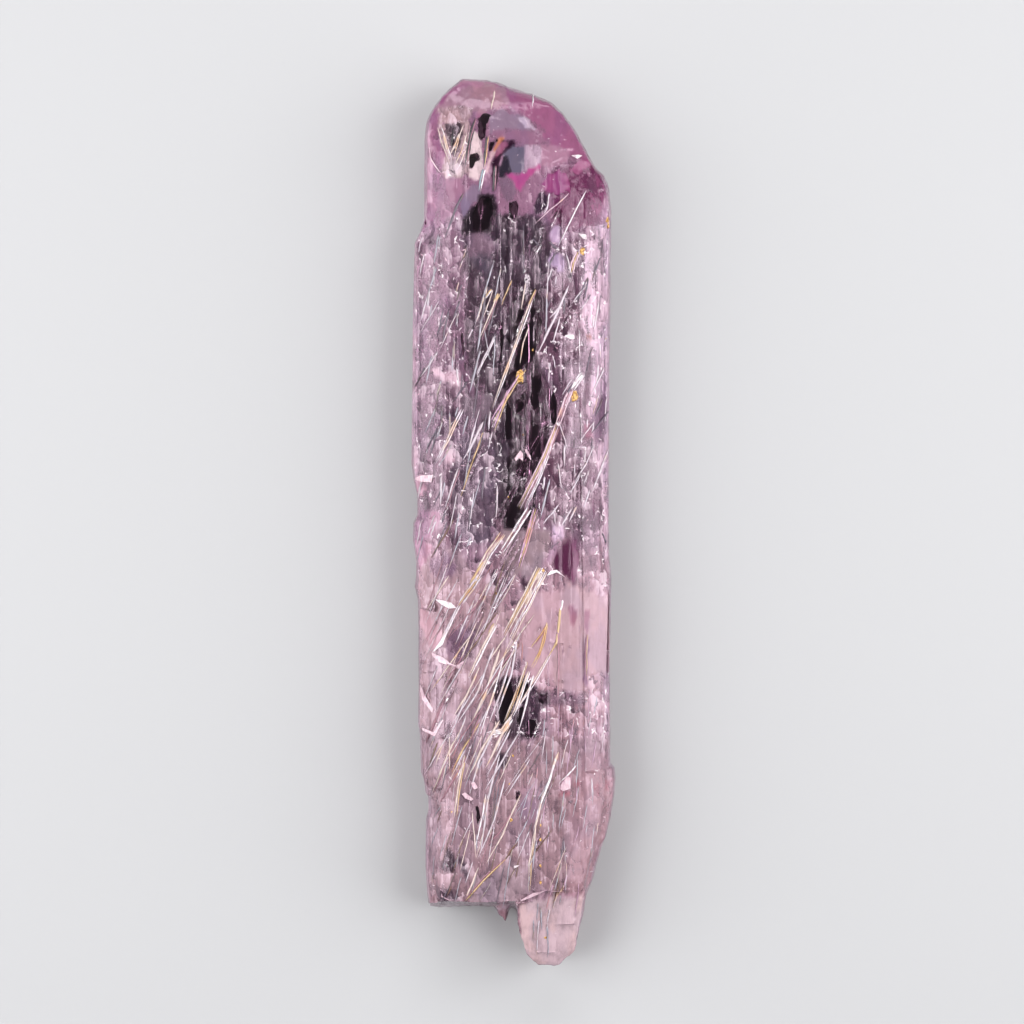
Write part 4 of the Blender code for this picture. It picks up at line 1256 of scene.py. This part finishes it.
def needleMaterial():
    shader = Shader("EtchChannel")
    tint = shader.attribute("tint")[0]
    grain = shader.streaks(7.0, (1.0, 0.1, 1.0), 26)
    stain = shader.streaks(0.55, (1.0, 0.6, 1.0))
    colour = shader.mix(grain.band(0.35, 0.75) * 0.6, tint, shader.scaled(tint, (1.35, 1.5, 1.6)))
    colour = shader.mix(grain.band(0.48, 0.25) * 0.6, colour, shader.scaled(tint, (0.40, 0.28, 0.34)))
    colour = shader.mix(stain.band(0.56, 0.66) * 0.6, colour, shader.scaled(tint, (1.0, 0.70, 0.38)))
    normal = shader.bump(grain, 0.25, 0.0002)
    shader.set(Base_Color=colour, Roughness=0.3, Coat_Weight=0.4, Coat_Roughness=0.08, Normal=normal)
    return shader.material


# fine needles: count, tints, reach across and along, middle and spread of the lean from upright in
# degrees, and lengths and widths in mm
fans = {
    "lowLeft": (
        80, ("cream", "pale", "pale", "mulberry"), (-10.0, 1.0), (-30.0, -7.0),
        (27, 5), (3, 9), (0.06, 0.17),
    ),
    "bottom": (
        110, ("pale", "grey", "cream", "brown", "dusk", "grey"), (-9.5, 6.0), (-43.0, -24.0),
        (16, 9), (1, 6), (0.05, 0.11),
    ),
    "middle": (
        44, ("pale", "grey", "dusk", "grey"), (-5.5, 4.0), (1.0, 32.0),
        (9, 8), (2, 8), (0.07, 0.18),
    ),
    "leftField": (
        60, ("pale", "dusk", "grey"), (-11.0, -5.0), (-4.0, 34.0),
        (14, 12), (1, 5), (0.08, 0.18),
    ),
    "rightField": (
        60, ("pale", "dusk", "pale"), (3.5, 11.0), (-2.0, 31.0),
        (16, 16), (1, 4), (0.08, 0.18),
    ),
    "rightLow": (
        44, ("pale", "grey", "pink"), (2.0, 10.5), (-44.0, -20.0),
        (6, 6), (1, 5), (0.06, 0.12),
    ),
    "tongue": (
        10, ("pale", "grey", "pale"), (1.0, 7.0), (-51.0, -44.0),
        (3, 4), (1, 4), (0.08, 0.16),
    ),
}

def makeFans(bm, rod):
    rng = random.Random(3)
    number = 100
    for side in (1, -1):
        for count, names, acrossReach, alongReach, lean, lengths, widths in fans.values():
            for _ in range(count):
                x, y = rng.uniform(*acrossReach), rng.uniform(*alongReach)
                angle = math.radians(rng.gauss(*lean))
                length = rng.uniform(*lengths)
                width = rng.uniform(*widths)
                tint = rng.choice(names)
                dx, dy = math.sin(angle) * length / 2, math.cos(angle) * length / 2
                number += 1
                if min(windowGap(x + dx * step, y + dy * step) for step in (-1, -0.5, 0, 0.5, 1)) < 0.3:
                    continue
                way = [(x + dx, y + dy), (x - dx, y - dy)]
                addNeedle(bm, rod, needleForm["rings"], tint, width, way, number, side)


def makeNeedles():
    longRod = rodMesh(needleForm["longRings"])
    rod = rodMesh(needleForm["rings"])
    bm = bmesh.new()
    bm.verts.layers.float_color.new("tint")
    for number, (tint, width, way) in enumerate(needles.values()):
        # a wide one is a bundle of strands
        strands = max(1, round(width / needleForm["strand"]))
        (x0, y0), (x1, y1) = way[0], way[-1]
        across = (y0 - y1) / math.dist(way[0], way[-1]), (x1 - x0) / math.dist(way[0], way[-1])
        if strands > 2:
            # a darker copy of the tint lies under each wide bundle: painted shade between the strands
            paintedUnderShade, deep = needleForm["paintedShadeUnder"], needleForm["sunkUnder"]
            addNeedle(bm, longRod, needleForm["longRings"], tint, width * 0.8, way, number * 5, 1, paintedUnderShade, deep)
        for strand in range(strands):
            aside = ((strand + 0.5) / strands - 0.5) * width * needleForm["spread"]
            own = tint if strand % 2 == 0 else needleForm["between"][(number + strand) % 3]
            moved = [(x + across[0] * aside, y + across[1] * aside) for x, y in way]
            thick = width / strands * (1.0 if strand % 2 == 0 else 0.7)
            addNeedle(bm, longRod, needleForm["longRings"], own, thick, moved, number * 7 + strand)
    makeFans(bm, rod)
    bpy.data.meshes.remove(rod)
    bpy.data.meshes.remove(longRod)
    mesh = meshOf("etch_channels", bm)
    mesh.shade_smooth()
    addPiece("etch_channels", mesh, needleMaterial())


# thin bright flakes of cleavage: tint and outline in mm
flakes = {
    "sliverWhite": ("white", [(-9.1, -8.9), (-8.2, -9), (-7.2, -9.3), (-6.6, -9.9), (-7.4, -10),
        (-8.4, -9.5)]),
    "zigzagLeft": ("flake", [(-9.5, -15.1), (-8.2, -15.6), (-7.5, -16.1), (-7.7, -16.5), (-8.6, -16.2),
        (-9.4, -15.5)]),
    "zigzagRight": ("flake", [(-7.7, -16.1), (-6.6, -16.6), (-5.8, -16), (-5.7, -16.2), (-6.3, -17),
        (-7.7, -16.4)]),
    "zigzagTail": ("pale", [(-9.3, -15), (-9.1, -14.9), (-7.7, -12.5), (-7.5, -12.4), (-8.2, -14.2)]),
    "arcPurple": ("white", [(3.8, -6.2), (4.3, -5.6), (5, -5.5), (6, -6.4), (5, -5.8), (4.2, -6.1)]),
    "arcLeft": ("flake", [(-8.8, -42.6), (-8.2, -43.3), (-7.1, -43.8), (-5.7, -43.8), (-6.2, -44),
        (-7.5, -44), (-8.5, -43.3)]),
    "arcBase": ("flake", [(-1.9, -44.4), (-0.4, -44.2), (0.8, -43.7), (2.2, -42.9), (3.9, -42.5),
        (2.5, -43.2), (1.2, -44), (0.2, -44.5), (-1, -44.6)]),
    "flakeLow": ("flake", [(-6, -31.4), (-5.6, -31.2), (-4.6, -32), (-4.9, -32.2), (-5.6, -31.9)]),
    "flakeLowHigh": ("flake", [(-4.9, -30.1), (-4.5, -30), (-4.1, -30.7), (-4.5, -30.9), (-4.8, -30.6)]),
    "triangle": ("flake", [(5.2, -30.7), (6.2, -29.3), (6.6, -29.6), (6.6, -30.8), (5.7, -31.1)]),
    "leftFlakeHigh": ("flake", [(-11.8, 5.2), (-10.8, 5.4), (-9.3, 5.5), (-9.5, 4.6), (-10.8, 4.7),
        (-11.5, 4.9)]),
    "sparkWing": ("white", [(8, 17.2), (8, 16.8), (6.9, 15.6), (6.6, 15.4), (6.9, 16)]),
    "edgeHook": ("flake", [(-11.1, -18.1), (-10.3, -20.1), (-9.3, -21.6), (-9.4, -22.1), (-10.6, -20.6),
        (-11.1, -19.2)]),
    "edgeHookLow": ("flake", [(-11.2, -23.8), (-9.3, -24.3), (-8.2, -22.8), (-8.1, -22.9), (-9.1, -24.8),
        (-11.1, -24.3)]),
    "gapFlake": ("flake", [(0.1, 7.3), (0.3, 7), (0.6, 7.4), (1.1, 7), (1.1, 7.9), (0.8, 8.3), (0.4, 7.8)]),
    "gapFlakeRight": ("flake", [(1.2, 8.5), (1.6, 7.7), (2, 7.1), (2, 7.6), (1.5, 8.4)]),
    "shoulderFlake": ("white", [(7.5, 33.4), (8.4, 33.3), (8.5, 32.7), (8, 32.8)]),
    "footFlake": ("white", [(0, -39.7), (0.7, -39.6), (0.5, -39.8), (0.1, -40)]),
    "cheekFlake": ("white", [(6.7, 42.5), (7.5, 42.6), (8, 42.5), (7.4, 42.1)]),
    "leftCurl": ("flake", [(-9.8, 43.6), (-9.7, 42.3), (-9.1, 41.1), (-8.2, 40.1), (-8.7, 40.8),
        (-9.5, 41.8)]),
}

flakeForm = {
    "thickness": 0.16,
    "sunk": 0.05,
    "bevel": 0.05 * mm,
}


def flakeMaterial():
    shader = Shader("CleavageFlake")
    tint = shader.attribute("tint")[0]
    grain = shader.streaks(3.0, (1.0, 0.6, 1.0), -50)
    colour = shader.mix(grain.band(0.42, 0.7) * 0.5, tint, (0.72, 0.60, 0.65, 1.0))
    colour = shader.mix(grain.band(0.48, 0.28) * 0.7, colour, (0.32, 0.17, 0.25, 1.0))
    normal = shader.bump(grain, 0.5, 0.0003)
    shader.set(Base_Color=colour, Roughness=0.18, Coat_Weight=0.8, Coat_Roughness=0.05, Normal=normal)
    return shader.material


def makeFlakes():
    bm = bmesh.new()
    colours = bm.verts.layers.float_color.new("tint")
    for tint, outline in flakes.values():
        middle = [sum(values) / len(outline) for values in zip(*outline)]
        corners = []
        for corner in outline:
            steps = (blended(corner, middle, share) for share in (0.0, 0.1, 0.2, 0.35, 0.5, 0.75, 1.0))
            onSkin = [(x, y, surfaceHeight(x, y, 1, 0.6)) for x, y in steps]
            corners += [place for place in onSkin if place[2] is not None][:1]
        if len(corners) < 3:
            continue
        level = sum(height for _, _, height in corners) / len(corners) - flakeForm["sunk"]
        verts = [bm.verts.new((x * mm, y * mm, max(level, height) * mm)) for x, y, height in corners]
        face = bm.faces.new(verts)
        if face.normal.z < 0:
            face.normal_flip()
        lifted = bmesh.ops.extrude_face_region(bm, geom=[face])["geom"]
        top = [item for item in lifted if isinstance(item, bmesh.types.BMVert)]
        bmesh.ops.translate(bm, verts=top, vec=(0, 0, flakeForm["thickness"] * mm))
        for vert in verts + top:
            vert[colours] = (*tints[tint], 1.0)
    bmesh.ops.recalc_face_normals(bm, faces=bm.faces)
    bmesh.ops.bevel(
        bm,
        geom=bm.edges[:],
        offset=flakeForm["bevel"],
        segments=1,
        profile=0.5,
        affect="EDGES",
        material=-1,
        clamp_overlap=True,
    )
    bmesh.ops.triangulate(bm, faces=[face for face in bm.faces if len(face.verts) > 4])
    addPiece("cleavage_flakes", meshOf("cleavage_flakes", bm), flakeMaterial())


# golden iron stains: middle and size in mm
stains = [
    (0.8, 16.7, 0.85), (7.0, 14.6, 0.8), (-0, -27, 0.26), (-0.5, -30.2, 0.22), (-0.3, -34.4, 0.27),
    (3.1, -32.9, 0.19), (3.1, -35, 0.22), (3.1, -36.7, 0.23), (3.1, -39.7, 0.25), (3.1, -41.6, 0.27),
    (3.7, -48.2, 0.27), (10.8, 35.1, 0.42), (10.9, 34.4, 0.4), (7.9, 31.4, 0.55), (-2, 26, 0.26),
    (3.4, -5.6, 0.3),
    (-2, -8.2, 0.22), (-0.6, 2.9, 0.16), (2.2, 19.9, 0.19), (1.1, 10.1, 0.21), (-5.6, -27.3, 0.16),
    (-7.1, -33.5, 0.16), (10.7, 21.3, 0.14),
]


def stainMaterial():
    shader = Shader("IronStain")
    blot = shader.noise(5.0, detail=3.0)
    colour = shader.mix(blot.band(0.40, 0.62), (0.24, 0.10, 0.02, 1.0), (0.80, 0.46, 0.12, 1.0))
    normal = shader.bump(blot, 0.6, 0.0003)
    shader.set(Base_Color=colour, Roughness=0.22, Coat_Weight=0.7, Coat_Roughness=0.06, Normal=normal)
    return shader.material


def makeStains():
    bm = bmesh.new()
    for number, (x, y, size) in enumerate(stains):
        height = surfaceHeight(x, y)
        if height is None:
            continue
        known = len(bm.verts)
        bmesh.ops.create_icosphere(bm, subdivisions=3, radius=1.0)
        bm.verts.ensure_lookup_table()
        for vert in bm.verts[known:]:
            lump = 1 + 0.55 * noise.noise(vert.co * 1.4 + Vector((number * 7.0, 0, 0)))
            spot = Vector((vert.co.x * 0.75, vert.co.y * 1.15, vert.co.z * 0.22)) * (size * 0.75 * lump)
            vert.co = (spot + Vector((x, y, height - 0.02))) * mm
    mesh = meshOf("iron_stains", bm)
    mesh.shade_smooth()
    addPiece("iron_stains", mesh, stainMaterial())


# small white facets on both faces that stand in for glints, painted glints: count, reach across and along,
# sizes in mm
paintedGlints = {
    "leftField": (110, (-11.3, -5.0), (0.0, 33.0), (0.10, 0.38)),
    "rightField": (120, (3.5, 11.3), (-3.0, 33.0), (0.10, 0.40)),
    "middle": (16, (-5.0, 3.5), (2.0, 34.0), (0.08, 0.25)),
    "lowLeft": (90, (-11.0, 2.0), (-43.0, -3.0), (0.10, 0.38)),
    "lowRight": (60, (2.0, 11.0), (-43.0, -20.0), (0.10, 0.35)),
    "shoulder": (30, (1.0, 11.0), (31.0, 44.0), (0.10, 0.30)),
    "cap": (40, (-9.5, 8.0), (40.0, 51.0), (0.08, 0.20)),
    "tongue": (8, (1.0, 7.0), (-51.0, -44.0), (0.08, 0.20)),
}


def makePaintedGlints():
    rng = random.Random(9)
    bm = bmesh.new()
    colours = bm.verts.layers.float_color.new("tint")
    for side in (1, -1):
        for count, acrossReach, alongReach, sizes in paintedGlints.values():
            for number in range(count):
                x, y = rng.uniform(*acrossReach), rng.uniform(*alongReach)
                size = rng.uniform(*sizes) * 0.5
                tilt = math.radians(rng.uniform(-30, 30))
                spin = math.radians(rng.gauss(80, 40))
                stretch = rng.uniform(1.5, 5.5)
                sides = rng.choice((3, 4, 5))
                tint = tints[rng.choice(("white", "flake", "flake", "pale"))]
                height = surfaceHeight(x, y, side, 0.6)
                if height is None or windowGap(x, y) < 0.3:
                    continue
                turn = Matrix.Rotation(spin, 4, "Z") @ Matrix.Rotation(tilt, 4, "Y")
                form = Matrix.Diagonal((size * mm, size * stretch * mm, size * mm, 1.0))
                height += 0 if side > 0 else 0.12
                place = Matrix.Translation(Vector((x, y, height)) * mm) @ turn @ form
                made = bmesh.ops.create_cone(
                    bm, cap_ends=True, segments=sides, radius1=0.5, radius2=0.35, depth=0.16, matrix=place
                )
                for vert in made["verts"]:
                    vert[colours] = (*tint, 1.0)
    addPiece("painted_glint_facets", meshOf("painted_glint_facets", bm), flakeMaterial())


# the stage
stage = {
    "frameWidth": 119.8 * mm,
    "aim": (-0.18 * mm, 1.17 * mm, 5.3 * mm),
    "lens": 120.0,
    "sensor": 36.0,
    "floorReach": 1.5,
    "floorColour": (0.46, 0.46, 0.47, 1.0),
    "world": (0.30, 0.30, 0.32),
    "worldStrength": 0.4,
    # place, size across and along, power
    "lights": {
        "left": ((-0.30, 0.0, 0.16), (0.34, 0.60), 2.2),
        "right": ((0.30, 0.0, 0.16), (0.34, 0.60), 2.2),
        "leftHigh": ((-0.24, -0.05, 0.40), (0.06, 0.30), 0.30),
        "rightHigh": ((0.24, 0.05, 0.40), (0.06, 0.30), 0.30),
        "top": ((0.0, 0.42, 0.30), (0.4, 0.2), 1.2),
    },
}


def makeFloor():
    bm = bmesh.new()
    bmesh.ops.create_grid(bm, x_segments=1, y_segments=1, size=stage["floorReach"])
    floor = addObject("floor", meshOf("floor", bm))
    shader = Shader("Floor")
    shader.set(Base_Color=stage["floorColour"], Roughness=0.9, Specular_IOR_Level=0.2)
    floor.data.materials.append(shader.material)


def makeLights():
    aim = Vector(stage["aim"])
    for name, (place, (across, along), power) in stage["lights"].items():
        light = bpy.data.lights.new(name, "AREA")
        light.shape = "RECTANGLE"
        light.size = across
        light.size_y = along
        light.energy = power
        lamp = addObject(name, light)
        lamp.location = place
        lamp.rotation_euler = (aim - Vector(place)).to_track_quat("-Z", "Y").to_euler()
    world = bpy.data.worlds.new("Studio")
    bpy.context.scene.world = world
    world.use_nodes = True
    background = world.node_tree.nodes["Background"]
    background.inputs["Color"].default_value = (*stage["world"], 1.0)
    background.inputs["Strength"].default_value = stage["worldStrength"]


def makeCamera():
    data = bpy.data.cameras.new("Camera")
    data.lens = stage["lens"]
    data.sensor_width = stage["sensor"]
    camera = addObject("Camera", data)
    distance = stage["frameWidth"] * stage["lens"] / stage["sensor"]
    camera.location = Vector(stage["aim"]) + Vector((0, 0, distance))
    bpy.context.scene.camera = camera


makeCamera()
bpy.context.scene.view_settings.view_transform = "Standard"
# keeps the ground under the crystal dark, so that its clear places look deep
bpy.context.scene.cycles.caustics_refractive = False
bpy.context.scene.cycles.caustics_reflective = False
makeLights()
makeFloor()
skin = makeBody()
makeNeedles()
makeFlakes()
makeStains()
makePaintedGlints()
report("done")
